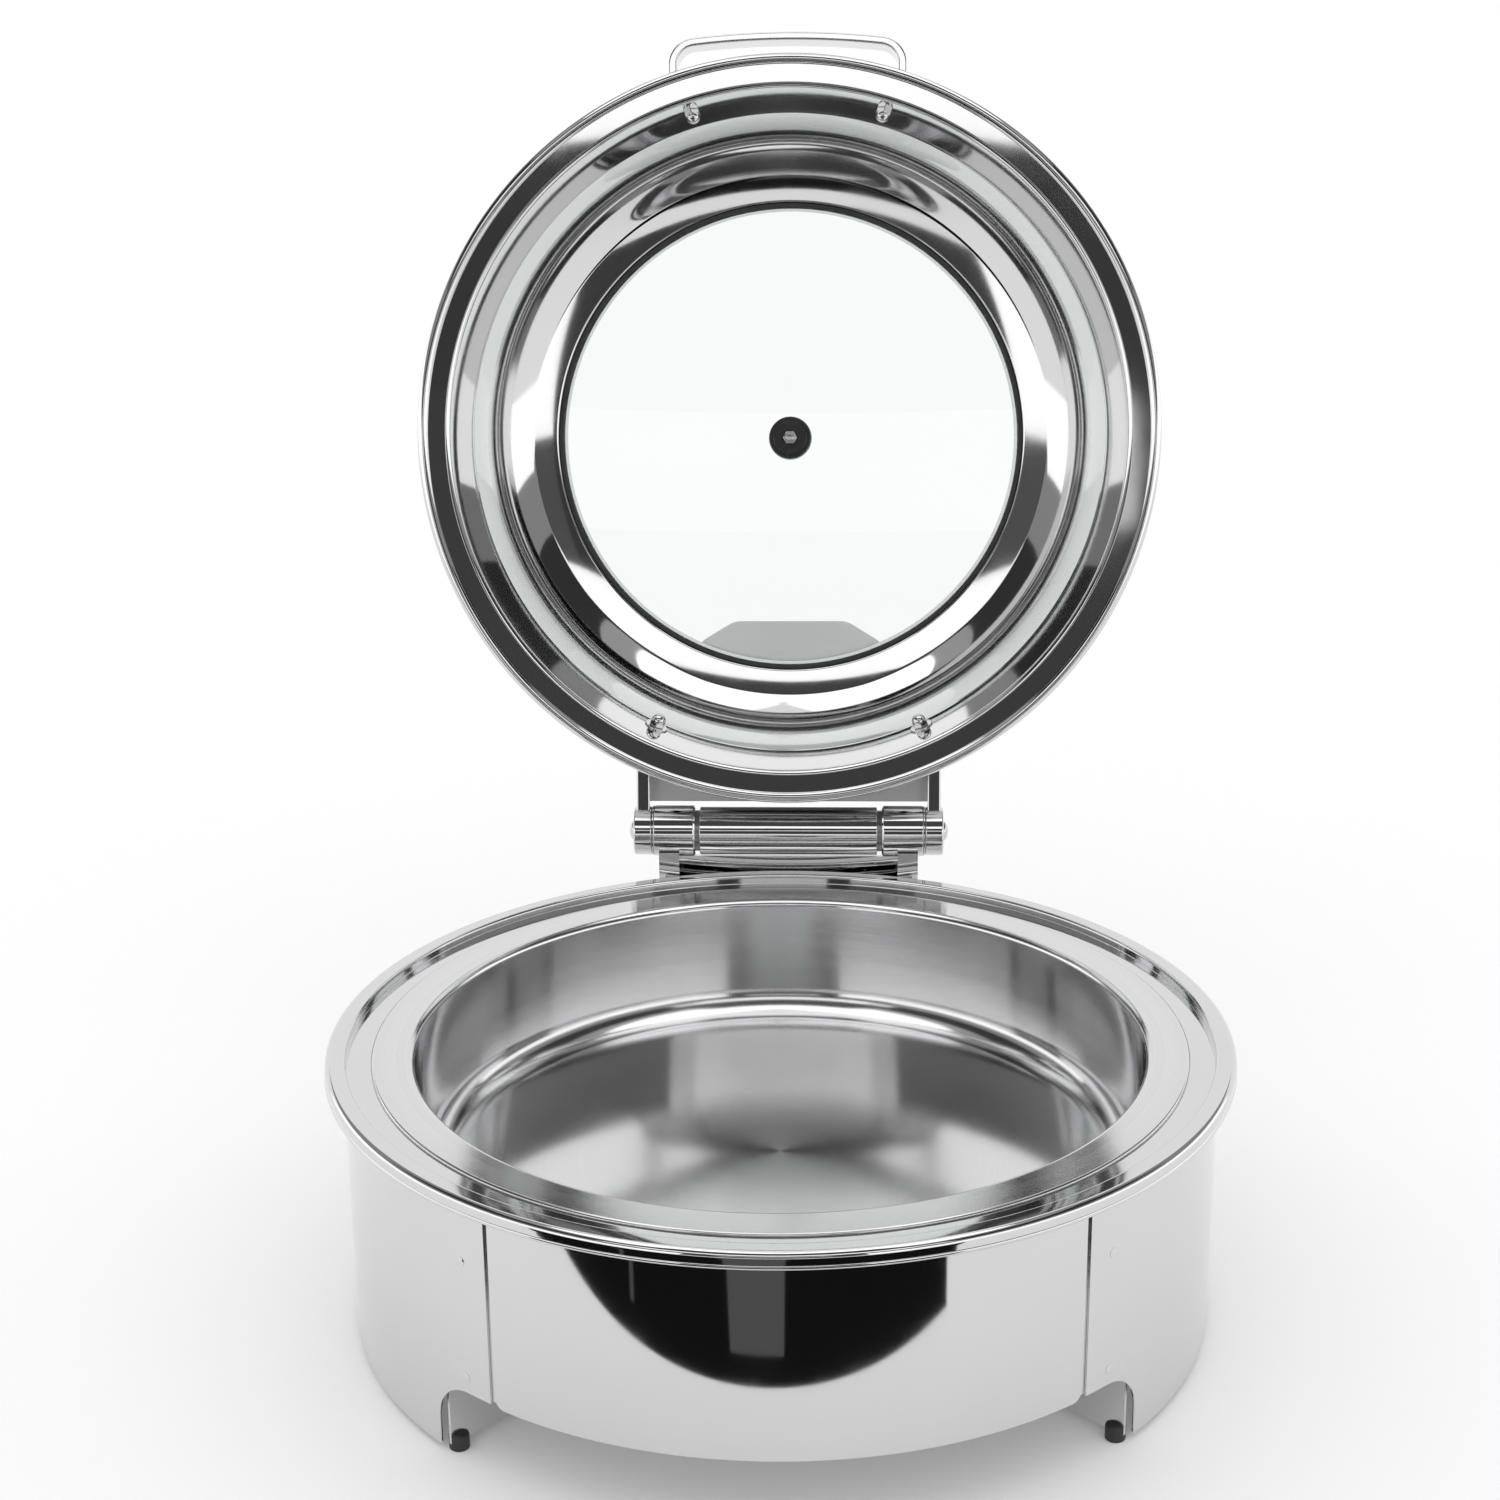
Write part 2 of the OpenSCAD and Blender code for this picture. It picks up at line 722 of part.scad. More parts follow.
// A knuckle on the hinge axis, a bar to the lid's wall and a pad that lies on the wall.
module lid_arm(s) {
    half = arc_angle(pad_half, wall_out(stud_h));
    az = 180 - s * stud_angle;
    bar_start = wall_out(arm_low) * cos(stud_angle) - 6;
    color(STEEL) lid_pose() difference() {
        union() {
            translate([0, hinge_y, hinge_up])
                along_x(s > 0 ? knuckle_in : -knuckle_out, s > 0 ? knuckle_out : -knuckle_in)
                    circle(d = knuckle_d);
            translate([s > 0 ? arm_in : -arm_out, bar_start, arm_low])
                cube([arm_t, hinge_y - bar_start, arm_h]);
            wall_pad(az - half, az + half, pad_low, crown_h - 0.5, pad_t);
        }
        wall_core(pad_low - 1, crown_h + 1);
        translate([0, hinge_y, hinge_up]) along_x(-knuckle_out - 1, knuckle_out + 1)
            circle(d = shaft_d + 2 * snug);
        at_studs() wall_bolt_hole(stud_grip + clear);
        at_plate_rivets() plate_rivet_hole();
    }
}

module lid_arm_left() {
    lid_arm(-1);
}

module lid_arm_right() {
    lid_arm(1);
}

// The plate's outline in plan: full width at the arms, a rounded tongue over the window.
module plate_outline() {
    shoulder = plate_bend_y + 12;
    chin = plate_tip_y + 14;
    brow = plate_knee_y - 4;
    polygon([
        [-arm_out, plate_low_y], [arm_out, plate_low_y], [arm_out, brow], [tongue_w, shoulder],
        [tongue_w, chin], [tip_w, plate_tip_y], [-tip_w, plate_tip_y],
        [-tongue_w, chin], [-tongue_w, shoulder], [-arm_out, brow]
    ]);
}

// The plate's side view: flat on the arms, up over the dome, flat over the window.
module plate_side() {
    rise = plate_top_z - arm_top;
    run = plate_knee_y - plate_bend_y;
    tilt = atan2(rise, run);
    shift = plate_t * tan(tilt / 2);
    polygon([
        [plate_low_y, arm_top], [plate_knee_y, arm_top], [plate_bend_y, plate_top_z],
        [plate_tip_y, plate_top_z], [plate_tip_y, plate_top_z + plate_t],
        [plate_bend_y + shift, plate_top_z + plate_t], [plate_knee_y + shift, arm_top + plate_t],
        [plate_low_y, arm_top + plate_t]
    ]);
}

module lid_bracket_plate() {
    color(STEEL) lid_pose() difference() {
        intersection() {
            linear_extrude(plate_top_z + 10) plate_outline();
            translate([-arm_out - 1, 0, 0]) rotate([90, 0, 90]) linear_extrude(2 * arm_out + 2) plate_side();
        }
        at_plate_rivets() plate_rivet_hole();
    }
}

module at_plate_rivets() {
    for (s = [-1, 1], y = [4, 13]) {
        translate([s * (arm_in + arm_t / 2), plate_low_y - y, arm_top]) children();
    }
}

module plate_rivet_hole() {
    deep = plate_rivet_l + 0.5;
    translate([0, 0, -deep]) cylinder(h = deep + plate_t + 1, d = plate_rivet_d + 2 * clear, $fn = 24);
}

module plate_rivets() {
    color(STEEL) lid_pose() at_plate_rivets() {
        translate([0, 0, -plate_rivet_l]) cylinder(h = plate_rivet_l + plate_t, d = plate_rivet_d, $fn = 24);
        translate([0, 0, plate_t]) cylinder(h = 1, d1 = 5.5, d2 = 3.5, $fn = 24);
    }
}

// Studs fixed in the arms' pads, flush outside, with washers and cap nuts inside the lid.
module hinge_studs() {
    color(STEEL) lid_pose() at_studs() wall_shank(stud_grip);
}

module hinge_stud_washers() {
    thick = 1;
    color(STEEL) lid_pose() at_studs() translate([0, 0, -lid_t - thick - 0.2]) difference() {
        cylinder(h = thick, d = lid_bolt_d + 8.5, $fn = 48);
        translate([0, 0, -1]) cylinder(h = thick + 2, d = lid_bolt_d + 2 * clear, $fn = 32);
    }
}

module hinge_stud_nuts() {
    color(STEEL) lid_pose() at_studs() dome_nut(1.2);
}

module hinge_shaft() {
    hole = end_bolt_l + 1;
    color(SATIN) at_hinge() difference() {
        along_x(-shaft_end, shaft_end) circle(d = shaft_d);
        for (x = [-shaft_end - 1, shaft_end - hole]) {
            along_x(x, x + hole + 1) circle(d = end_bolt_d, $fn = 32);
        }
    }
}

module shaft_bolts() {
    head_d = 12;
    head_h = 3;
    tail = shaft_end - end_bolt_l;
    color(STEEL) at_hinge() for (s = [-1, 1]) {
        rotate([0, s * 90, 0]) {
            translate([0, 0, tail]) cylinder(h = knuckle_out - tail, d = end_bolt_d, $fn = 32);
            translate([0, 0, knuckle_out]) intersection() {
                cylinder(h = head_h, d = head_d);
                translate([0, 0, head_h - head_d * 0.75]) sphere(head_d * 0.75);
            }
        }
    }
}

// ---- base's half of the hinge --------------------------------------------------------

module at_bracket_screws() {
    az = asin(bracket_screw_x / skirt_r);
    for (s = [-1, 1], h = [8, 24]) {
        at_azimuth(180 + s * az) translate([0, 0, bracket_low + h]) rotate([0, 90, 0]) children();
    }
}

module bracket_holes() {
    at_bracket_screws() translate([0, 0, frame_in - 5])
        cylinder(h = 20, d = bracket_screw_d + 2 * clear, $fn = 32);
}

// A lug's side view: a foot on the pad under the rim and a post up to the hinge tube.
module lug_side() {
    front = sqrt(pow(rim_r + lug_clear, 2) - lug_in * lug_in);
    toe = front - 12;
    low = bracket_low + 1;
    shelf = hem_z - 1.4;
    top = hinge_z - 9;
    polygon([[toe, low], [lug_back_y, low], [lug_back_y, top], [front, top], [front, shelf], [toe, shelf]]);
}

// A pad on the rear apron, two lugs behind the rim and the bar between them.
module hinge_bracket() {
    half = asin((lug_in + lug_w + 2.1) / skirt_r);
    bar_low = bracket_low + 2;
    pad_top = hem_z - 0.4;
    color(STEEL) difference() {
        union() {
            wall_sector(skirt_r + bracket_pad_t, skirt_r - 1, bracket_low, pad_top, 180 - half, 180 + half);
            for (x = [lug_in, -lug_in - lug_w]) {
                translate([x, 0, 0]) rotate([90, 0, 90]) linear_extrude(lug_w) lug_side();
            }
            translate([-lug_in - 1, lug_back_y - 3.5, bar_low])
                cube([2 * lug_in + 2, 3, hinge_z - tube_d / 2 - 1 - bar_low]);
        }
        translate([0, 0, bracket_low - 1]) cylinder(h = hem_z + 1, r = skirt_r, $fn = 360);
        at_hinge() along_x(-knuckle_out, knuckle_out) circle(d = sleeve_d + 2 * snug);
        bracket_holes();
    }
}

module bracket_screws() {
    head_r = skirt_r + bracket_pad_t + clear;
    tail_r = frame_in - bracket_nut_h;
    color(STEEL) at_bracket_screws() {
        translate([0, 0, tail_r]) cylinder(h = head_r - tail_r + clear, d = bracket_screw_d, $fn = 32);
        translate([0, 0, head_r]) intersection() {
            cylinder(h = 2, d = 8, $fn = 32);
            translate([0, 0, 2 - 6]) sphere(6, $fn = 32);
        }
    }
}

module bracket_nuts() {
    color(SATIN) at_bracket_screws() translate([0, 0, frame_in - bracket_nut_h - 2 * clear]) difference() {
        cylinder(h = bracket_nut_h, d = 2 * bracket_screw_d + clear, $fn = 6);
        translate([0, 0, -1]) cylinder(h = 6, d = bracket_screw_d, $fn = 32);
    }
}

module hinge_centre_tube() {
    color(STEEL) at_hinge() tube_x(-tube_l / 2, tube_l / 2, tube_d / 2, tube_d / 2 - tube_t);
}

// A sleeve, turned down at its inner end, with a bore for its bush.
module sleeve(s) {
    cut = 1;
    r = sleeve_d / 2;
    color(STEEL) at_hinge() rotate([0, s * 90, 0]) translate([0, 0, sleeve_in]) rotate_extrude()
        difference() {
            strip(bush_d / 2, 0, r, sleeve_l);
            polygon([[r - cut, 0], [r + 1, 0], [r + 1, cut + 1], [r, cut]]);
        }
}

module bush(s) {
    color("goldenrod") at_hinge() rotate([0, s * 90, 0]) translate([0, 0, sleeve_in]) rotate_extrude()
        strip(shaft_d / 2 + run_gap, 0, bush_d / 2, sleeve_l);
}

// A friction cartridge that fills half of the centre tube and steps down into the neck.
module friction_damper(s) {
    body_r = tube_d / 2 - tube_t;
    bore = shaft_d / 2 + run_gap;
    color("dimgray") at_hinge() rotate([0, s * 90, 0]) rotate_extrude() {
        strip(bore, 6, body_r, tube_l / 2);
        strip(bore, tube_l / 2, body_r - 0.5, sleeve_in);
    }
}

module hinge_washers() {
    color(SATIN) at_hinge() for (s = [-1, 1]) rotate([0, s * 90, 0]) translate([0, 0, sleeve_out + clear])
        rotate_extrude() strip(shaft_d / 2 + run_gap, 0, sleeve_d / 2 - 0.2, washer_t);
}

// ---- nodes ---------------------------------------------------------------------------

front_apron();
rear_apron();
left_side_panel();
right_side_panel();
inner_frame();
for (i = [0:3]) {
    leg_web(WEB_AZ[i]);
    foot(WEB_AZ[i]);
}
panel_rivets();
water_pan();
induction_plate();
hinge_bracket();
bracket_screws();
bracket_nuts();
hinge_centre_tube();
sleeve(-1);  // hinge_sleeve_left
sleeve(1);  // hinge_sleeve_right
bush(-1);  // hinge_bush_left
bush(1);  // hinge_bush_right
friction_damper(-1);  // friction_damper_left
friction_damper(1);  // friction_damper_right
hinge_washers();
food_pan();
lid_shell();
window_gasket();
window_glass();
window_trim_ring();
knob_cap();
knob_washer();
knob_screw();
knob_nut();
lid_handle();
handle_bolts();
handle_nuts();
lid_bracket_plate();
lid_arm_left();
lid_arm_right();
hinge_studs();
hinge_stud_washers();
hinge_stud_nuts();
plate_rivets();
hinge_shaft();
shaft_bolts();
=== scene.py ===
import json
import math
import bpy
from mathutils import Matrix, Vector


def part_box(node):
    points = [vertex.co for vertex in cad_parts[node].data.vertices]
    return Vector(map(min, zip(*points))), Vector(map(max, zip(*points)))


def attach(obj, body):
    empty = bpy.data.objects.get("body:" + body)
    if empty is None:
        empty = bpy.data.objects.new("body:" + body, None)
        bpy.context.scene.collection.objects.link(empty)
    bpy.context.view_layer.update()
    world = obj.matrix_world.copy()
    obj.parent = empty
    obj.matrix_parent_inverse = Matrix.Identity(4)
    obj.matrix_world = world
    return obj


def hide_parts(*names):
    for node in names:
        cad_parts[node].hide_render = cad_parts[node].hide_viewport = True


bl_info = {
    "name": "Round window chafer",
    "version": (1, 0, 0),
    "blender": (4, 5, 0),
    "location": "View3D > Sidebar > Chafer",
    "description": "Builds a round chafer with a hinged window lid around its engineering model",
    "category": "Add Mesh",
}

import bmesh
import bpy
from bpy.props import FloatProperty, FloatVectorProperty, IntProperty, PointerProperty
from mathutils import Matrix, Vector

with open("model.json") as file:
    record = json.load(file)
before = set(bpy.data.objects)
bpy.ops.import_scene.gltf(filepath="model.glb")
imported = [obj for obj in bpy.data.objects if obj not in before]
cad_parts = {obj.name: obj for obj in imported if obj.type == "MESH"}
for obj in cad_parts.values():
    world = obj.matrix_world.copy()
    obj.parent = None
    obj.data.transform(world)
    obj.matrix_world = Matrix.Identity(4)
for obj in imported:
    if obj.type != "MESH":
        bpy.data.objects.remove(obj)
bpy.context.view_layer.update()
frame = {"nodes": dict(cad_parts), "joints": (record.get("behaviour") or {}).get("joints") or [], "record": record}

MM = 0.001
FULL_TURN = 2 * math.pi
HINGE = Vector(next(j for j in frame["joints"] if j["name"] == "lid_hinge")["pos_m"])
LOW, HIGH = 0, 1
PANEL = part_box("right_side_panel")
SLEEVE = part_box("hinge_sleeve_right")
# Height above the lid's edge at which its steep wall begins.
WALL_START = 5.5 * MM


def length(name, default, description):
    """A size in metres that the user can change."""
    return FloatProperty(name=name, description=description, default=default, min=0.0, unit="LENGTH")


def angle(name, default, description):
    """An angle, given in degrees here and kept in radians."""
    return FloatProperty(name=name, description=description, default=math.radians(default), subtype="ANGLE")


def colour(name, default, description):
    """A linear colour that the user can change."""
    return FloatVectorProperty(
        name=name, description=description, default=default, min=0.0, max=1.0, subtype="COLOR"
    )


# ---- sizes and colours -----------------------------------------------------------------


class ChaferBase(bpy.types.PropertyGroup):
    """Sizes of the stand and of the water pan."""

    rim_radius: length("Rim radius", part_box("water_pan")[HIGH].x, "Outer radius of the water pan's rim")
    rim_height: length("Rim height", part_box("water_pan")[HIGH].z, "Top of the rim above the table")
    sheet: length("Sheet", 1.2 * MM, "Thickness of the panels and of the water pan")
    skirt_radius: length("Skirt radius", PANEL[HIGH].x, "Outer radius of the skirt panels")
    skirt_top: length("Skirt top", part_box("front_apron")[HIGH].z, "Upper edge of the skirt panels")
    apron_lift: length("Apron lift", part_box("front_apron")[LOW].z, "Lower edge of the front and rear aprons")
    side_lift: length("Side lift", PANEL[LOW].z, "Lower edge of the side panels")
    seam_angle: angle("Seam angle", 37.5, "From the front or rear centre line to a seam")
    stand_turn: angle("Stand turn", 2.5, "Turn of the stand under the pans and the hinge")
    seam_gap: length("Seam gap", 2.8 * MM, "Width of the open seam between two panels")
    leg_step: angle("Leg step", 9.9, "From a seam to the edge of the leg beside it")
    notch_radius: length("Notch radius", 22 * MM, "Large corner of the notch beside a leg")
    step_radius: length("Step radius", 214.4 * MM, "Step between the ledge and the rim")
    ledge_drop: length("Ledge drop", 4.8 * MM, "Height of the rim above the ledge")
    well_radius: length("Well radius", 193 * MM, "Inner radius of the water well")
    well_floor: length("Well floor", 55 * MM, "Upper face of the well's floor above the table")


class ChaferFoodPan(bpy.types.PropertyGroup):
    """Sizes of the lift-out food pan."""

    sheet: length("Sheet", 1 * MM, "Thickness of the food pan")
    flange_radius: length("Flange radius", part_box("food_pan")[HIGH].x, "Outer radius of the flange")
    top: length("Top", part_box("food_pan")[HIGH].z, "Upper face of the flange above the table")
    bottom: length("Bottom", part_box("food_pan")[LOW].z, "Lower face of the floor above the table")
    mouth_radius: length("Mouth radius", 181.5 * MM, "Inner radius at the mouth")
    base_radius: length("Base radius", 176.2 * MM, "Inner radius above the floor's fillet")
    fillet: length("Fillet", 15 * MM, "Inner radius between the floor and the wall")


class ChaferLid(bpy.types.PropertyGroup):
    """Sizes of the lid, measured from its axis and its lower edge while it is closed."""

    plane: length("Lid plane", 138.9 * MM, "Lower edge of the closed lid above the table")
    open_angle: angle("Open angle", frame["joints"][0]["range_deg"][HIGH], "From open to closed")
    sheet: length("Sheet", 1.2 * MM, "Thickness of the shell")
    radius: length("Radius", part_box("lid_shell")[HIGH].x, "Outer radius of the rolled edge")
    bead: length("Bead", 3.2 * MM, "Radius of the rolled edge's section")
    wall_foot: length("Wall foot", 193 * MM, "Inner radius at the foot of the steep wall")
    wall_top: length("Wall top", 184.5 * MM, "Inner radius at the top of the steep wall")
    wall_height: length("Wall height", 35 * MM, "Height of the top of the steep wall")
    seat_radius: length("Seat radius", 152.5 * MM, "Outer radius of the window seat")
    seat_height: length("Seat height", 73 * MM, "Height of the inner face of the window seat")
    dome_radius: length("Dome radius", 80 * MM, "Radius of the dome's arc")
    window_radius: length("Window radius", 138.5 * MM, "Radius of the hole for the window")
    glass_radius: length("Glass radius", 137 * MM, "Radius of the glass")
    glass_height: length("Glass height", 78 * MM, "Inner face of the glass")
    glass: length("Glass", 4 * MM, "Thickness of the glass")
    bolt: length("Bolt", 5 * MM, "Diameter of the bolts through the wall")


class ChaferHandle(bpy.types.PropertyGroup):
    """Sizes of the strap handle."""

    width: length("Width", 134 * MM, "Outer width of the handle")
    strap: length("Strap", 4.6 * MM, "Thickness of the strap")
    height: length("Strap width", 20 * MM, "Width of the strap along the lid's axis")
    reach: length("Reach", 224 * MM, "From the lid's axis to the front of the grip")
    crown: length("Crown", 485 * MM, "Radius of the grip's gentle crown")
    corner: length("Corner", 15 * MM, "Outer radius of the strap's corners")
    bolt_height: length("Bolt height", 17 * MM, "Height of the handle's bolts above the lid's edge")
    bolt_offset: length("Bolt offset", 55 * MM, "Distance of a bolt from the centre line")


class ChaferHinge(bpy.types.PropertyGroup):
    """Sizes of the friction hinge."""

    tube_half: length("Tube half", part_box("hinge_centre_tube")[HIGH].x, "Half the length of the centre tube")
    tube_radius: length("Tube radius", 14 * MM, "Outer radius of the centre tube")
    sleeve_in: length("Sleeve start", SLEEVE[LOW].x, "Inner end of a sleeve")
    sleeve_out: length("Sleeve end", SLEEVE[HIGH].x, "Outer end of a sleeve")
    sleeve_radius: length("Sleeve radius", 14.8 * MM, "Outer radius of a sleeve")
    bush_radius: length("Bush radius", 9 * MM, "Outer radius of a bush")
    knuckle_in: length("Knuckle start", SLEEVE[HIGH].x + 1 * MM, "Inner face of a knuckle")
    knuckle_out: length("Knuckle end", SLEEVE[HIGH].x + 11.6 * MM, "Outer face of a knuckle")
    knuckle_radius: length("Knuckle radius", 14.2 * MM, "Radius of a knuckle")
    arm_inset: length("Arm inset", 1.4 * MM, "From a knuckle's inner face to the arm's")
    arm_thickness: length("Arm thickness", 7.6 * MM, "Thickness of a lid arm")
    arm_height: length("Arm height", 13 * MM, "Height of a lid arm")
    bolt_angle: angle("Bolt angle", 24.6, "From the rear centre line to a hinge bolt")
    bolt_height: length("Bolt height", 28 * MM, "Height of the hinge bolts above the lid's edge")
    plate: length("Plate", 2.5 * MM, "Thickness of the lid's bracket plate")
    pad: length("Pad", 6 * MM, "Thickness of an arm's pad on the lid's wall")


class ChaferFinish(bpy.types.PropertyGroup):
    """Colours of the finishes."""

    mirror_steel: colour("Mirror steel", (0.68, 0.68, 0.685), "Polished stainless steel")
    satin_steel: colour("Satin steel", (0.70, 0.70, 0.705), "Spun satin stainless steel")
    brushed_steel: colour("Brushed steel", (0.62, 0.62, 0.625), "Brushed stainless steel inside the stand")
    rubber: colour("Rubber", (0.018, 0.018, 0.019), "Feet and gasket")
    plastic: colour("Plastic", (0.014, 0.014, 0.015), "Knob")
    bronze: colour("Bronze", (0.62, 0.42, 0.20), "Hinge bushes")
    damper: colour("Damper", (0.30, 0.30, 0.31), "Friction cartridges")
    glass: colour("Glass", (0.97, 0.985, 0.98), "Tempered window")


class ChaferStudio(bpy.types.PropertyGroup):
    """Camera, floor and light."""

    camera_place: FloatVectorProperty(
        name="Camera place",
        description="Where the camera stands",
        default=(0.0298, -1.1214, 0.6512),
        subtype="TRANSLATION",
        unit="LENGTH",
    )
    camera_pitch: angle("Camera pitch", 17.87, "How far the camera looks down")
    camera_turn: angle("Camera turn", 2.2, "How far the camera turns to the left")
    camera_roll: angle("Camera roll", -0.6, "How far the camera leans")
    focal_length: FloatProperty(
        name="Focal length", description="Focal length of the lens in millimetres", default=58.78, min=1.0
    )
    white: colour("White", (1.0, 1.0, 1.0), "Surroundings")
    floor: colour("Floor", (0.90, 0.90, 0.90), "Table")
    segments: IntProperty(
        name="Segments", description="Steps round a large turned piece", default=192, min=24
    )


GROUPS = {
    "chafer_base": ChaferBase,
    "chafer_food_pan": ChaferFoodPan,
    "chafer_lid": ChaferLid,
    "chafer_handle": ChaferHandle,
    "chafer_hinge": ChaferHinge,
    "chafer_finish": ChaferFinish,
    "chafer_studio": ChaferStudio,
}


# ---- drawing and shaping ---------------------------------------------------------------


def deselect_all():
    bpy.ops.object.select_all(action="DESELECT")


def choose(piece):
    """Selects a piece alone and makes it the active one."""
    deselect_all()
    piece.select_set(True)
    bpy.context.view_layer.objects.active = piece


def edit(piece):
    """Opens a piece alone in edit mode with everything selected."""
    choose(piece)
    bpy.ops.object.mode_set(mode="EDIT")
    bpy.ops.mesh.select_all(action="SELECT")


def leave_edit():
    bpy.ops.object.mode_set(mode="OBJECT")


def pick(piece, test):
    """In edit mode, selects only the vertices whose place passes a test."""
    shape = bmesh.from_edit_mesh(piece.data)
    for vert in shape.verts:
        vert.select = bool(test(vert.co))
    shape.select_flush_mode()
    bmesh.update_edit_mesh(piece.data)


def near(point, reach=1e-6):
    """A test for one place."""
    point = Vector(point)
    return lambda place: (place - point).length < reach


def upright(a, b):
    """A point of a profile: a outwards, b upwards."""
    return Vector((a, 0.0, b))


def plan(a, b):
    """A point of a plan: a to the right, b backwards."""
    return Vector((a, b, 0.0))


def draw(name, corners, lay=upright, closed=False, arc_step=math.radians(9)):
    """Draws a wire by extruding one vertex from corner to corner, then rounds its corners by bevels.

    A corner is (a, b) or (a, b, radius). The piece is left in edit mode.
    """
    places = [lay(corner[0], corner[1]) for corner in corners]
    deselect_all()
    bpy.ops.mesh.primitive_plane_add(size=MM, location=(0, 0, 0))
    piece = bpy.context.object
    piece.name = piece.data.name = name
    bpy.ops.object.mode_set(mode="EDIT")
    bpy.ops.mesh.select_all(action="SELECT")
    bpy.ops.mesh.merge(type="CENTER")
    bpy.ops.transform.translate(value=places[0])
    for before, place in zip(places, places[1:]):
        bpy.ops.mesh.extrude_region_move(TRANSFORM_OT_translate={"value": place - before})
    if closed:
        pick(piece, lambda place: near(places[0])(place) or near(places[-1])(place))
        bpy.ops.mesh.edge_face_add()
    for index, corner in enumerate(corners):
        if len(corner) < 3 or corner[2] <= 0:
            continue
        arriving = places[index] - places[index - 1]
        leaving = places[(index + 1) % len(places)] - places[index]
        turned = arriving.angle(leaving)
        pick(piece, near(places[index]))
        bpy.ops.mesh.bevel(
            affect="VERTICES",
            offset_type="OFFSET",
            offset=corner[2] * math.tan(turned / 2),
            segments=max(2, round(turned / arc_step)),
            profile=0.5,
        )
    bpy.ops.mesh.select_all(action="SELECT")
    return piece


def clean(piece):
    """In edit mode, merges doubles and points the faces outwards."""
    bpy.ops.mesh.select_all(action="SELECT")
    bpy.ops.mesh.remove_doubles(threshold=1e-6)
    bpy.ops.mesh.normals_make_consistent(inside=False)


def spin(piece, steps, sweep=FULL_TURN):
    """Turns the open wire round the upright axis and leaves edit mode."""
    bpy.ops.mesh.select_all(action="SELECT")
    bpy.ops.mesh.spin(steps=steps, angle=sweep, center=(0, 0, 0), axis=(0, 0, 1))
    clean(piece)
    leave_edit()


def modify(piece, kind, **settings):
    """Adds a modifier with its settings and applies it."""
    choose(piece)
    bpy.ops.object.modifier_add(type=kind)
    modifier = piece.modifiers[-1]
    for name, value in settings.items():
        setattr(modifier, name, value)
    bpy.ops.object.modifier_apply(modifier=modifier.name)


def thicken(piece, sheet):
    """Gives a surface its sheet thickness, half to each side."""
    modify(piece, "SOLIDIFY", thickness=sheet, offset=0.0, use_even_offset=True)


def soften(piece, radius, segments=2, limit=50):
    """Rounds the sharp edges."""
    modify(
        piece,
        "BEVEL",
        width=radius,
        segments=segments,
        limit_method="ANGLE",
        angle_limit=math.radians(limit),
        use_clamp_overlap=True,
    )


def smooth(piece, limit=38):
    """Shades curved stretches smooth and keeps flat faces flat."""
    choose(piece)
    bpy.ops.object.shade_smooth_by_angle(angle=math.radians(limit))
    modify(piece, "WEIGHTED_NORMAL", keep_sharp=True, weight=80)


def turned(name, profile, steps, sheet=None, closed=False, edge=0.0, sweep=FULL_TURN):
    """A turned piece: a sheet on an open profile, or a solid from a closed one."""
    piece = draw(name, profile, closed=closed)
    spin(piece, steps, sweep)
    if sheet:
        thicken(piece, sheet)
    if edge:
        soften(piece, edge)
    return piece


def shift(piece, step):
    """Moves a piece's mesh, not its object."""
    edit(piece)
    bpy.ops.transform.translate(value=step)
    leave_edit()


def rotate(piece, axis, turn, centre=(0, 0, 0)):
    """Turns a piece's mesh about an axis, right-handed."""
    edit(piece)
    bpy.ops.transform.rotate(value=-turn, orient_axis=axis, center_override=centre)
    leave_edit()


def face(piece, azimuth):
    """Turns a swept piece until its middle lies at an azimuth, 0 being the front."""
    middle = sum((vert.co for vert in piece.data.vertices), Vector())
    rotate(piece, "Z", azimuth - math.pi / 2 - math.atan2(middle.y, middle.x))


def rolled_edge(radius, bead, height, steps, rings):
    """The closed roll at a rim, at a height above the upright axis's foot."""
    deselect_all()
    bpy.ops.mesh.primitive_torus_add(
        location=(0, 0, 0),
        major_segments=steps,
        minor_segments=rings,
        major_radius=radius,
        minor_radius=bead,
    )
    roll = bpy.context.object
    shift(roll, (0, 0, height))
    return roll


def join(name, pieces):
    """Joins pieces into one object."""
    deselect_all()
    for piece in pieces:
        piece.select_set(True)
    bpy.context.view_layer.objects.active = pieces[0]
    if len(pieces) > 1:
        bpy.ops.object.join()
    whole = bpy.context.object
    whole.name = whole.data.name = name
    return whole


def swing_open(piece, lid):
    """Lifts a piece drawn on the closed lid to the lid's plane and opens it about the hinge."""
    shift(piece, (0, 0, lid.plane))
    rotate(piece, "X", -lid.open_angle, HINGE)


def along_hinge(piece, side=1):
    """Lays a piece turned about the upright axis along the hinge axis, towards one side."""
    rotate(piece, "Y", side * math.pi / 2)
    shift(piece, HINGE)


def wall_slope(lid):
    """Drop in radius of the lid's steep wall for each unit of height."""
    return (lid.wall_foot - lid.wall_top) / (lid.wall_height - WALL_START)


def wall_radius(lid, height):
    """Outer radius of the lid's steep wall at a height."""
    return lid.wall_foot + lid.sheet - wall_slope(lid) * (height - WALL_START)


def finish_on_lid(piece, lid, finish, node):
    """Opens a piece drawn on the closed lid and finishes it as part of the lid."""
    swing_open(piece, lid)
    finish_piece(piece, finish, "lid", node)


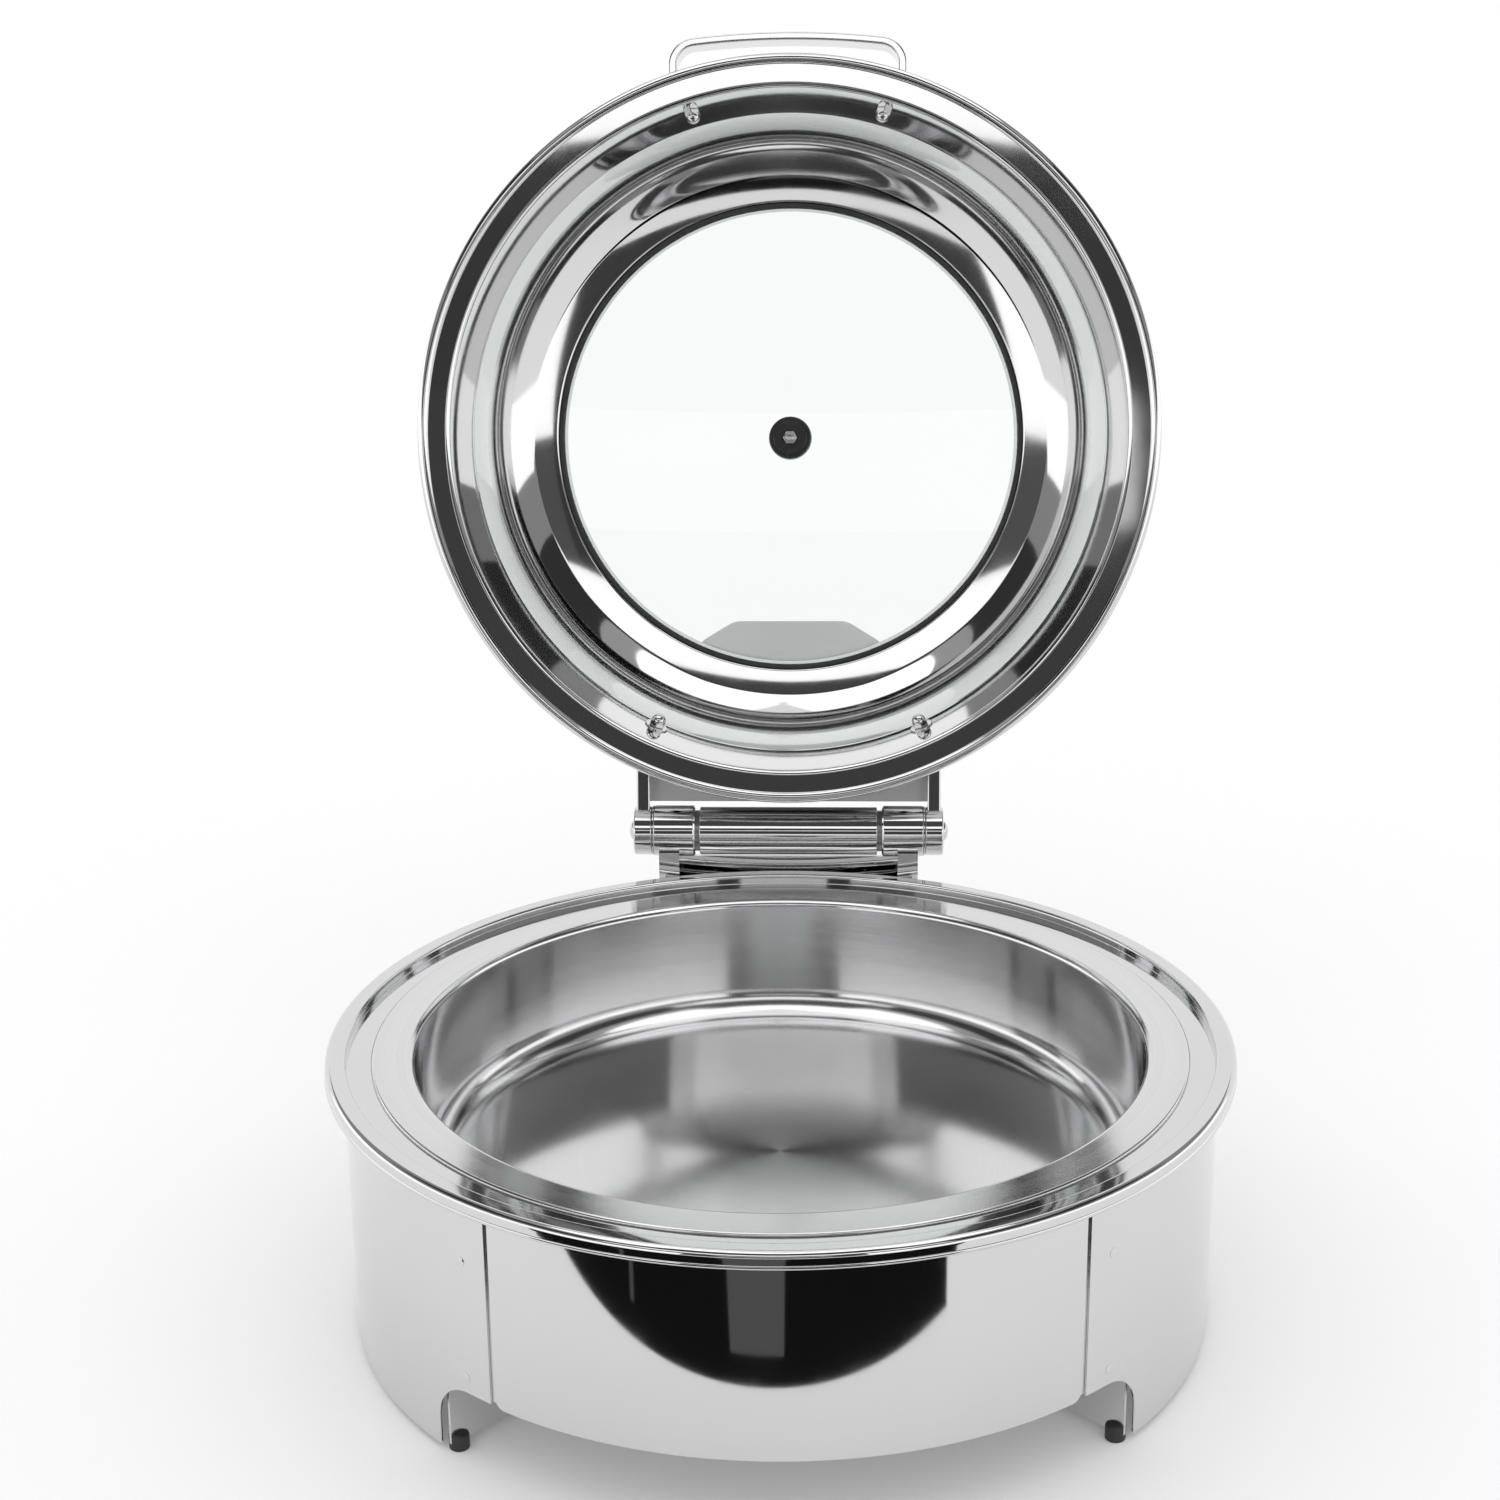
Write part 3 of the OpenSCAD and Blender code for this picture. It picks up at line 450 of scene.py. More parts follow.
def onto_wall(piece, lid, azimuth, height):
    """Carries a piece drawn on the upright axis to the lid's wall, square to it. Azimuth 0 is the front."""
    rotate(piece, "Y", math.pi / 2 - math.atan(wall_slope(lid)))
    shift(piece, (wall_radius(lid, height), 0, height))
    rotate(piece, "Z", azimuth - math.pi / 2)


def finish_piece(piece, finish, body, *nodes):
    """Smooths a new piece, gives it its material, slot and body, and hides the CAD nodes it stands for."""
    smooth(piece)
    piece.data.materials.clear()
    piece.data.materials.append(finish_material(finish))
    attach(piece, body)
    if nodes:
        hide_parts(*nodes)


# ---- materials -------------------------------------------------------------------------


class Socket:
    """A node's output that takes part in Python arithmetic."""

    def __init__(self, tree, output):
        self.tree = tree
        self.output = output

    def node(self, kind, settings=None, inputs=None, output=0):
        """Adds any node. Settings come first, then the values or links of its sockets."""
        made = self.tree.nodes.new(kind)
        for name, value in (settings or {}).items():
            if name == "stops":
                ramp = made.color_ramp
                while len(ramp.elements) < len(value):
                    ramp.elements.new(1.0)
                for element, (place, shade) in zip(ramp.elements, value):
                    element.position = place
                    element.color = (shade, shade, shade, 1.0)
            else:
                setattr(made, name, value)
        for name, value in (inputs or {}).items():
            if isinstance(value, Socket):
                self.tree.links.new(value.output, made.inputs[name])
            else:
                made.inputs[name].default_value = value
        return Socket(self.tree, made.outputs[output])

    def math(self, operation, *values):
        return self.node("ShaderNodeMath", {"operation": operation}, dict(enumerate(values)))

    def __add__(self, other):
        return self.math("ADD", self, other)

    __radd__ = __add__

    def __sub__(self, other):
        return self.math("SUBTRACT", self, other)

    def __rsub__(self, other):
        return self.math("SUBTRACT", other, self)

    def __mul__(self, other):
        return self.math("MULTIPLY", self, other)

    __rmul__ = __mul__

    def __truediv__(self, other):
        return self.math("DIVIDE", self, other)

    def __pow__(self, other):
        return self.math("POWER", self, other)

    def noise(self, scale, detail=2.0, roughness=0.5):
        """Soft noise from 0 to 1 at this place."""
        return self.node(
            "ShaderNodeTexNoise",
            {"noise_dimensions": "3D"},
            {"Vector": self, "Scale": scale, "Detail": detail, "Roughness": roughness},
        )

    def stretched(self, factors, turn=(0, 0, 0)):
        """This place, turned and then stretched."""
        return self.node(
            "ShaderNodeMapping",
            {"vector_type": "POINT"},
            {"Vector": self, "Rotation": turn, "Scale": factors},
        )

    def fit(self, low, high, to_low=0.0, to_high=1.0):
        """This value carried from one range to another and held inside it."""
        return self.node(
            "ShaderNodeMapRange",
            {"clamp": True},
            {"Value": self, "From Min": low, "From Max": high, "To Min": to_low, "To Max": to_high},
        )

    def tint(self, low, high):
        """A colour between two, by this value."""
        return self.node(
            "ShaderNodeMix",
            {"data_type": "RGBA"},
            {0: self, 6: (*low, 1.0), 7: (*high, 1.0)},
            output=2,
        )

    def bump(self, distance, strength=1.0):
        """A surface normal that follows this height."""
        return self.node("ShaderNodeBump", {}, {"Height": self, "Distance": distance, "Strength": strength})


class Finish:
    """A new material with a Principled shader and its place socket."""

    def __init__(self, name):
        self.material = bpy.data.materials.new(name)
        self.material.use_nodes = True
        tree = self.material.node_tree
        self.shader = next(node for node in tree.nodes if node.type == "BSDF_PRINCIPLED")
        place = tree.nodes.new("ShaderNodeTexCoord")
        self.place = Socket(tree, place.outputs["Object"])

    def set(self, **values):
        """Sets or links the shader's sockets; an underscore stands for a space."""
        for name, value in values.items():
            target = self.shader.inputs[name.replace("_", " ")]
            if isinstance(value, Socket):
                self.place.tree.links.new(value.output, target)
            else:
                target.default_value = value


def shade(base, factor):
    """A colour made lighter or darker."""
    return tuple(min(1.0, channel * factor) for channel in base)


def make_mirror_steel(made, finish):
    smear = made.place.noise(9.0, 3.0)
    haze = made.place.noise(60.0, 4.0, 0.6)
    made.set(
        Metallic=1.0,
        Base_Color=smear.tint(shade(finish.mirror_steel, 0.96), shade(finish.mirror_steel, 1.03)),
        Roughness=smear.fit(0.3, 0.75, 0.035, 0.075) + haze.fit(0.4, 0.8, 0.0, 0.02),
        Normal=made.place.noise(14.0, 1.0).bump(0.0001, 0.4),
    )


def radius_of(place):
    """Distance from the upright axis through the origin."""
    flat = place.node("ShaderNodeVectorMath", {"operation": "MULTIPLY"}, {0: place, 1: (1.0, 1.0, 0.0)})
    return place.node("ShaderNodeVectorMath", {"operation": "LENGTH"}, {0: flat}, output=1)


def make_satin_steel(made, finish):
    spread = radius_of(made.place)
    height = made.place.node("ShaderNodeSeparateXYZ", {}, {0: made.place}, output=2)
    grooves = made.place.node(
        "ShaderNodeTexNoise",
        {"noise_dimensions": "2D"},
        {
            "Vector": made.place.node("ShaderNodeCombineXYZ", {}, {0: spread * 1500.0, 1: height * 1500.0}),
            "Scale": 1.0,
            "Detail": 4.0,
            "Roughness": 0.7,
        },
    )
    smear = made.place.noise(12.0, 2.0)
    made.set(
        Metallic=1.0,
        Base_Color=grooves.tint(shade(finish.satin_steel, 0.9), shade(finish.satin_steel, 1.08)),
        Roughness=smear.fit(0.3, 0.7, 0.1, 0.14) + grooves.fit(0.3, 0.7, 0.0, 0.04),
        Normal=grooves.bump(0.00002, 0.3),
        Anisotropic=0.8,
        Anisotropic_Rotation=0.25,
    )


def make_brushed_steel(made, finish):
    strokes = made.place.stretched((60.0, 60.0, 2200.0)).noise(1.0, 4.0, 0.7)
    smear = made.place.noise(15.0, 2.0)
    made.set(
        Metallic=1.0,
        Base_Color=strokes.tint(shade(finish.brushed_steel, 0.9), shade(finish.brushed_steel, 1.1)),
        Roughness=smear.fit(0.3, 0.7, 0.34, 0.44),
        Normal=strokes.bump(0.00003, 0.4),
    )


def speckle(made, base, mark, shades, roughness, **more):
    """Lets one mark vary a finish's colour between two shades and its roughness between two values."""
    made.set(
        Base_Color=mark.tint(*(shade(base, factor) for factor in shades)),
        Roughness=mark.fit(0.3, 0.7, *roughness),
        **more,
    )


def make_fastener_steel(made, finish):
    wear = made.place.noise(220.0, 3.0)
    dents = wear.bump(0.00001, 0.3)
    speckle(made, finish.mirror_steel, wear, (0.85, 1.0), (0.08, 0.16), Metallic=1.0, Normal=dents)


def make_window_glass(made, finish):
    film = made.place.noise(8.0, 3.0)
    made.set(
        Base_Color=film.tint(shade(finish.glass, 0.99), finish.glass),
        Roughness=film.fit(0.5, 0.8, 0.0, 0.012),
        Transmission_Weight=1.0,
        IOR=1.5,
    )


def make_black_rubber(made, finish):
    grain = made.place.noise(900.0, 3.0)
    dust = made.place.noise(70.0, 3.0)
    made.set(
        Base_Color=dust.tint(shade(finish.rubber, 0.8), shade(finish.rubber, 1.9)),
        Roughness=grain.fit(0.3, 0.7, 0.45, 0.62),
        Normal=grain.bump(0.00005, 0.3),
    )


def make_black_plastic(made, finish):
    grain = made.place.noise(700.0, 2.0).bump(0.00002, 0.25)
    smear = made.place.noise(90.0, 2.0)
    speckle(made, finish.plastic, smear, (0.85, 1.5), (0.22, 0.34), Normal=grain)


def make_bronze(made, finish):
    pores = made.place.noise(1200.0, 3.0)
    speckle(made, finish.bronze, pores, (0.7, 1.1), (0.3, 0.45), Metallic=1.0)


def make_damper_body(made, finish):
    grain = made.place.noise(400.0, 3.0)
    speckle(made, finish.damper, grain, (0.8, 1.2), (0.25, 0.4), Metallic=1.0)


FINISHES = {
    "mirror_steel": make_mirror_steel,
    "satin_steel": make_satin_steel,
    "brushed_steel": make_brushed_steel,
    "fastener_steel": make_fastener_steel,
    "window_glass": make_window_glass,
    "black_rubber": make_black_rubber,
    "black_plastic": make_black_plastic,
    "bronze": make_bronze,
    "damper_body": make_damper_body,
}


def finish_material(name):
    """The material of a finish, made when it is first asked for."""
    known = bpy.data.materials.get("chafer_" + name)
    if known:
        return known
    made = Finish("chafer_" + name)
    FINISHES[name](made, bpy.context.scene.chafer_finish)
    return made.material


# ---- stand -----------------------------------------------------------------------------


def skirt_sheet(name, corners, base, azimuth):
    """Cuts a flat panel from its outline, rolls it round the skirt and turns it to its azimuth."""
    middle_radius = base.skirt_radius - base.sheet / 2
    half = max(corner[0] for corner in corners)
    piece = draw(name, corners, closed=True)
    bpy.ops.mesh.edge_face_add()
    strips = round(2 * half / (3.5 * MM))
    for index in range(1, strips):
        bpy.ops.mesh.select_all(action="SELECT")
        bpy.ops.mesh.bisect(plane_co=(half * (2 * index / strips - 1), 0, 0), plane_no=(1, 0, 0))
    clean(piece)
    leave_edit()
    modify(
        piece,
        "SIMPLE_DEFORM",
        deform_method="BEND",
        deform_axis="Z",
        angle=2 * half / middle_radius,
    )
    shift(piece, (0, -middle_radius, 0))
    thicken(piece, base.sheet)
    soften(piece, 0.3 * MM)
    rotate(piece, "Z", azimuth + base.stand_turn)
    return piece


class CHAFER_OT_aprons(bpy.types.Operator):
    """Roll the raised front and rear aprons with their rounded lower corners"""

    bl_idname = "chafer.aprons"
    bl_label = "Front and rear aprons"

    def execute(self, context):
        base = context.scene.chafer_base
        half = (base.skirt_radius - base.sheet / 2) * base.seam_angle - base.seam_gap / 2
        corners = [
            (-half, base.apron_lift, 5 * MM),
            (half, base.apron_lift, 5 * MM),
            (half, base.skirt_top),
            (-half, base.skirt_top),
        ]
        for name, azimuth in (("front_apron", 0.0), ("rear_apron", math.pi)):
            piece = skirt_sheet(name + "_panel", corners, base, azimuth)
            finish_piece(piece, "mirror_steel", "root", name)
        return {"FINISHED"}


class CHAFER_OT_side_panels(bpy.types.Operator):
    """Roll the full-height side panels, each with a leg and its notch at both ends"""

    bl_idname = "chafer.side_panels"
    bl_label = "Side panels"

    def execute(self, context):
        base = context.scene.chafer_base
        radius = base.skirt_radius - base.sheet / 2
        half = radius * (math.pi / 2 - base.seam_angle) - base.seam_gap / 2
        leg = radius * (math.pi / 2 - base.seam_angle - base.leg_step)
        arch = base.apron_lift + 1 * MM
        corners = [
            (-half, arch),
            (-leg, arch, base.notch_radius),
            (-leg, base.side_lift, 1.5 * MM),
            (leg, base.side_lift, 1.5 * MM),
            (leg, arch, base.notch_radius),
            (half, arch),
            (half, base.skirt_top),
            (-half, base.skirt_top),
        ]
        for name, azimuth in (("right_side_panel", math.pi / 2), ("left_side_panel", -math.pi / 2)):
            piece = skirt_sheet(name + "_sheet", corners, base, azimuth)
            finish_piece(piece, "mirror_steel", "root", name)
        return {"FINISHED"}


class CHAFER_OT_panel_rivets(bpy.types.Operator):
    """Set the shallow rivets beside the seams"""

    bl_idname = "chafer.panel_rivets"
    bl_label = "Panel rivets"

    def execute(self, context):
        base = context.scene.chafer_base
        steps = 32
        rise = 0.35 * MM
        shank_radius = 1.5 * MM
        shank = 3 * MM
        past_seam = math.radians(4.4)
        profile = [
            (0, rise),
            (1.6 * MM, rise, 1.2 * MM),
            (2.5 * MM, 0.0),
            (shank_radius, 0.0),
            (shank_radius, -shank),
            (0, -shank),
        ]
        rivets = []
        for middle in (0.0, math.pi):
            for side in (-1, 1):
                for height in (47 * MM, 106 * MM):
                    rivet = turned("panel_rivet", profile, steps)
                    rotate(rivet, "Y", math.pi / 2)
                    shift(rivet, (base.skirt_radius + 0.05 * MM, 0, height))
                    azimuth = middle + side * (base.seam_angle + past_seam) - math.pi / 2
                    rotate(rivet, "Z", azimuth + base.stand_turn)
                    rivets.append(rivet)
        group = join("panel_rivet_heads", rivets)
        finish_piece(group, "mirror_steel", "root", "panel_rivets")
        return {"FINISHED"}


class CHAFER_OT_feet(bpy.types.Operator):
    """Mould the rubber feet that cap the webs' lower corners"""

    bl_idname = "chafer.feet"
    bl_label = "Rubber feet"

    def execute(self, context):
        steps = 48
        for corner in ("front_right", "rear_right", "rear_left", "front_left"):
            low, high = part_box("foot_" + corner)
            radius = (high.x - low.x) / 2
            top = high.z
            profile = [
                (0, 0.4 * MM),
                (radius * 0.45, 0.4 * MM),
                (radius * 0.55, 0, 0.3 * MM),
                (radius, 0, 0.9 * MM),
                (radius, top, 2.2 * MM),
                (0, top),
            ]
            piece = turned("rubber_foot_" + corner, profile, steps)
            shift(piece, ((low.x + high.x) / 2, (low.y + high.y) / 2, 0))
            finish_piece(piece, "black_rubber", "root", "foot_" + corner)
        return {"FINISHED"}


class CHAFER_OT_water_pan(bpy.types.Operator):
    """Press the water pan with its well, ledge, step and rolled rim"""

    bl_idname = "chafer.water_pan"
    bl_label = "Water pan"

    def execute(self, context):
        base = context.scene.chafer_base
        steps = context.scene.chafer_studio.segments
        half = base.sheet / 2
        ledge = base.rim_height - base.ledge_drop - half
        top = base.rim_height - half
        face = base.rim_radius - 0.35 * MM - half
        bead = 1.4 * MM
        hem = base.skirt_top
        profile = [
            (0, base.well_floor - half),
            (base.well_radius + half, base.well_floor - half, 12.6 * MM),
            (base.well_radius + half, ledge, 2.6 * MM),
            (base.step_radius + half, ledge, 0.9 * MM),
            (base.step_radius + half, top, 1.1 * MM),
            (face, top, 2.6 * MM),
            (face, hem + 2 * bead - 0.4 * MM),
        ]
        shell = turned("water_pan_shell", profile, steps, base.sheet)
        roll = rolled_edge(base.rim_radius - bead, bead, hem + bead, steps, 16)
        inner = base.skirt_radius - 2 * base.sheet
        closing = [(inner, hem + half), (base.rim_radius - bead, hem + half)]
        collar = turned("hem_collar", closing, steps, 1 * MM)
        piece = join("water_pan_shell", [shell, roll, collar])
        finish_piece(piece, "mirror_steel", "root", "water_pan")
        return {"FINISHED"}


class CHAFER_OT_induction_plate(bpy.types.Operator):
    """Turn the disc bonded under the well"""

    bl_idname = "chafer.induction_plate"
    bl_label = "Induction plate"

    def execute(self, context):
        steps = 128
        low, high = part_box("induction_plate")
        profile = [(0, high.z), (high.x, high.z, 0.6 * MM), (high.x, low.z, 1.2 * MM), (0, low.z)]
        piece = turned("induction_disc", profile, steps)
        finish_piece(piece, "brushed_steel", "root", "induction_plate")
        return {"FINISHED"}


class CHAFER_OT_food_pan(bpy.types.Operator):
    """Spin the lift-out food pan with its floor fillet, flat flange and turned-down lip"""

    bl_idname = "chafer.food_pan"
    bl_label = "Food pan"

    def execute(self, context):
        pan = context.scene.chafer_food_pan
        steps = context.scene.chafer_studio.segments
        half = pan.sheet / 2
        floor = pan.bottom + half
        top = pan.top - half
        lip = 1.5 * MM
        mouth_bend = 3.5 * MM
        lip_bend = 1 * MM
        profile = [
            (0, floor),
            (pan.base_radius + half, floor, pan.fillet + half),
            (pan.mouth_radius + half, top, mouth_bend),
            (pan.flange_radius - half, top, lip_bend),
            (pan.flange_radius - half, pan.top - lip),
        ]
        piece = turned("food_pan_spun", profile, steps, pan.sheet, edge=0.2 * MM)
        finish_piece(piece, "satin_steel", "food_pan", "food_pan")
        return {"FINISHED"}


# ---- lid -------------------------------------------------------------------------------


def dome_arc(lid):
    """Points of the dome's middle surface from the steep wall up to the window seat."""
    points = 22
    foot = Vector((lid.wall_top, lid.wall_height))
    head = Vector((lid.seat_radius, lid.seat_height))
    chord = head - foot
    across = Vector((-chord.y, chord.x)).normalized()
    centre = (foot + head) / 2 + across * math.sqrt(lid.dome_radius**2 - chord.length_squared / 4)
    start = math.atan2(foot.y - centre.y, foot.x - centre.x)
    stop = math.atan2(head.y - centre.y, head.x - centre.x)
    radius = lid.dome_radius + lid.sheet / 2
    for index in range(points):
        turn = start + (stop - start) * index / (points - 1)
        yield (centre.x + radius * math.cos(turn), centre.y + radius * math.sin(turn))


class CHAFER_OT_lid_shell(bpy.types.Operator):
    """Spin the lid's shell with its rolled edge, steep wall, dome and window seat"""

    bl_idname = "chafer.lid_shell"
    bl_label = "Lid shell"

    def execute(self, context):
        lid = context.scene.chafer_lid
        steps = context.scene.chafer_studio.segments
        half = lid.sheet / 2
        lip = 2.2 * MM + half
        lip_bend = 2.7 * MM
        collar = 4 * MM
        profile = [
            (lid.radius - lid.bead, lip),
            (lid.wall_foot + half, lip, lip_bend),
            *dome_arc(lid),
            (lid.window_radius + half, lid.seat_height + half + 3 * MM, 1.2 * MM),
            (lid.window_radius + half, lid.seat_height + collar + lid.sheet),
        ]
        shell = turned("lid_shell_spun", profile, steps, lid.sheet)
        roll = rolled_edge(lid.radius - lid.bead, lid.bead, lid.bead + 0.1 * MM, steps, 24)
        piece = join("lid_shell_spun", [shell, roll])
        finish_on_lid(piece, lid, "mirror_steel", "lid_shell")
        return {"FINISHED"}


class CHAFER_OT_window(bpy.types.Operator):
    """Fit the glass, its gasket and the trim ring"""

    bl_idname = "chafer.window"
    bl_label = "Window"

    def execute(self, context):
        lid = context.scene.chafer_lid
        steps = context.scene.chafer_studio.segments
        low = lid.glass_height
        high = low + lid.glass
        rim = lid.glass_radius
        hole = 3 * MM
        ground = 0.6 * MM
        glass = turned(
            "window_pane",
            [(hole, low, ground), (rim, low, ground), (rim, high, ground), (hole, high, ground)],
            steps,
            closed=True,
        )
        wall = 1.2 * MM
        cover = 1 * MM
        outer = lid.window_radius - 0.1 * MM
        round_lip = 0.5 * MM
        gasket = turned(
            "window_seal",
            [
                (rim - cover, low - wall, round_lip),
                (outer, low - wall, round_lip),
                (outer, high + wall, round_lip),
                (rim - cover, high + wall, round_lip),
                (rim - cover, high),
                (rim, high),
                (rim, low),
                (rim - cover, low),
            ],
            steps,
            closed=True,
        )
        trim_sheet = 1 * MM
        over = high + wall + trim_sheet / 2
        trim_radius = lid.seat_radius - 5.5 * MM
        trim = turned(
            "window_trim",
            [
                (rim - 3.2 * MM, over),
                (trim_radius, over, 2 * MM),
                (trim_radius, lid.seat_height + lid.sheet + 0.1 * MM),
            ],
            steps,
            trim_sheet,
            edge=0.3 * MM,
        )
        for piece, finish, node in (
            (glass, "window_glass", "window_glass"),
            (gasket, "black_rubber", "window_gasket"),
            (trim, "mirror_steel", "window_trim_ring"),
        ):
            finish_on_lid(piece, lid, finish, node)
        return {"FINISHED"}


class CHAFER_OT_knob(bpy.types.Operator):
    """Turn the knob, the disc inside the glass, their screw and its nut"""

    bl_idname = "chafer.knob"
    bl_label = "Knob"

    def execute(self, context):
        lid = context.scene.chafer_lid
        steps = 64
        inside = lid.glass_height
        outside = inside + lid.glass
        shank = 2.4 * MM
        cap = turned(
            "knob_grip",
            [
                (2.5 * MM, outside),
                (12 * MM, outside, 0.5 * MM),
                (13 * MM, outside + 4 * MM, 1.5 * MM),
                (11.5 * MM, outside + 8 * MM, 2.5 * MM),
                (5 * MM, outside + 8 * MM, 0.4 * MM),
                (5 * MM, outside + 5 * MM),
                (2.5 * MM, outside + 5 * MM),
            ],
            steps,
            closed=True,
        )
        disc = turned(
            "knob_disc",
            [
                (2.5 * MM, inside),
                (12.5 * MM, inside, 0.4 * MM),
                (12.5 * MM, inside - 1.5 * MM, 0.7 * MM),
                (10.5 * MM, inside - 1.5 * MM),
                (10.2 * MM, inside - 3 * MM, 0.9 * MM),
                (2.5 * MM, inside - 3 * MM),
            ],
            steps,
            closed=True,
        )
        screw = turned(
            "knob_bolt",
            [
                (0, inside - 6.5 * MM),
                (shank, inside - 6.5 * MM, 0.5 * MM),
                (shank, outside + 5 * MM),
                (4.5 * MM, outside + 5 * MM, 0.3 * MM),
                (4.5 * MM, outside + 7.4 * MM, 1.2 * MM),
                (0, outside + 7.4 * MM),
            ],
            steps,
        )
        nut = turned(
            "knob_hex_nut",
            [
                (shank + 0.05 * MM, inside - 3 * MM),
                (4.3 * MM, inside - 3 * MM),
                (4.3 * MM, inside - 6 * MM),
                (shank + 0.05 * MM, inside - 6 * MM),
            ],
            6,
            closed=True,
            edge=0.4 * MM,
        )
        for piece, finish, node in (
            (cap, "black_plastic", "knob_cap"),
            (disc, "black_plastic", "knob_washer"),
            (screw, "fastener_steel", "knob_screw"),
            (nut, "fastener_steel", "knob_nut"),
        ):
            finish_on_lid(piece, lid, finish, node)
        return {"FINISHED"}


def domed_bolt(name, lid, grip):
    """A bolt drawn on the upright axis: its shank through the wall and its domed head outside."""
    steps = 40
    head = 0.7 * lid.bolt
    return turned(
        name,
        [
            (0, -lid.sheet - 5 * MM),
            (lid.bolt / 2, -lid.sheet - 5 * MM, 0.4 * MM),
            (lid.bolt / 2, grip),
            (head, grip, 0.3 * MM),
            (head * 0.86, grip + 1.2 * MM, 1.5 * MM),
            (head * 0.5, grip + 2 * MM, 2 * MM),
            (0, grip + 2.2 * MM),
        ],
        steps,
    )


def domed_nut(name, lid, gap):
    """A cap nut drawn on the upright axis: a six-sided foot and a dome, inside the wall."""
    steps = 40
    across = 4.75 * MM
    low = -lid.sheet - gap
    foot = turned(
        name + "_foot",
        [(0, low), (across, low), (across, low - 3 * MM), (0, low - 3 * MM)],
        6,
        edge=0.5 * MM,
    )
    dome_radius = 4.15 * MM
    arc = 10
    dome = turned(
        name + "_dome",
        [(dome_radius, low - 2.5 * MM)]
        + [
            (
                dome_radius * math.cos(math.pi / 2 * index / arc),
                low - 3 * MM - dome_radius * math.sin(math.pi / 2 * index / arc),
            )
            for index in range(arc + 1)
        ],
        steps,
    )
    return join(name, [foot, dome])


def set_in_wall(name, make, lid, places, node):
    """Makes one fastener for each (azimuth, height) and groups them."""
    parts = []
    for azimuth, height in places:
        part = make(name)
        onto_wall(part, lid, azimuth, height)
        parts.append(part)
    group = join(name, parts)
    finish_on_lid(group, lid, "fastener_steel", node)


def handle_places(lid, handle):
    turn = math.asin(handle.bolt_offset / wall_radius(lid, handle.bolt_height))
    return [(side * turn, handle.bolt_height) for side in (-1, 1)]


def hinge_places(hinge):
    return [(math.pi + side * hinge.bolt_angle, hinge.bolt_height) for side in (-1, 1)]


class CHAFER_OT_lid_fasteners(bpy.types.Operator):
    """Turn the handle's domed bolts and the cap nuts and washers inside the lid"""

    bl_idname = "chafer.lid_fasteners"
    bl_label = "Lid fasteners"

    def execute(self, context):
        lid = context.scene.chafer_lid
        handle = context.scene.chafer_handle
        hinge = context.scene.chafer_hinge
        grips = handle_places(lid, handle)
        arms = hinge_places(hinge)
        washer_gap = 1.2 * MM

        def handle_bolt(name):
            return domed_bolt(name, lid, handle.strap + 0.3 * MM)

        def handle_nut(name):
            return domed_nut(name, lid, 0.2 * MM)

        def hinge_nut(name):
            return domed_nut(name, lid, washer_gap)

        def washer(name):
            hole = lid.bolt / 2 + 0.1 * MM
            outer = 6.75 * MM
            high = -lid.sheet - 0.2 * MM
            low = high - 1 * MM
            bevel = 0.3 * MM
            profile = [(hole, high), (outer, high, bevel), (outer, low, bevel), (hole, low)]
            return turned(name, profile, 48, closed=True)

        set_in_wall("handle_bolt_heads", handle_bolt, lid, grips, "handle_bolts")
        set_in_wall("handle_cap_nuts", handle_nut, lid, grips, "handle_nuts")
        set_in_wall("hinge_cap_nuts", hinge_nut, lid, arms, "hinge_stud_nuts")
        set_in_wall("hinge_flat_washers", washer, lid, arms, "hinge_stud_washers")
        return {"FINISHED"}


def wall_pad(name, lid, start, stop, low, high, thickness):
    """A block that lies on the lid's steep wall between two azimuths."""
    corners = [
        (wall_radius(lid, low), low),
        (wall_radius(lid, low) + thickness, low),
        (wall_radius(lid, high) + thickness, high),
        (wall_radius(lid, high), high),
    ]
    piece = draw(name, corners, closed=True)
    bpy.ops.mesh.edge_face_add()
    bpy.ops.mesh.spin(steps=12, angle=stop - start, center=(0, 0, 0), axis=(0, 0, 1))
    clean(piece)
    leave_edit()
    face(piece, (start + stop) / 2)
    return piece


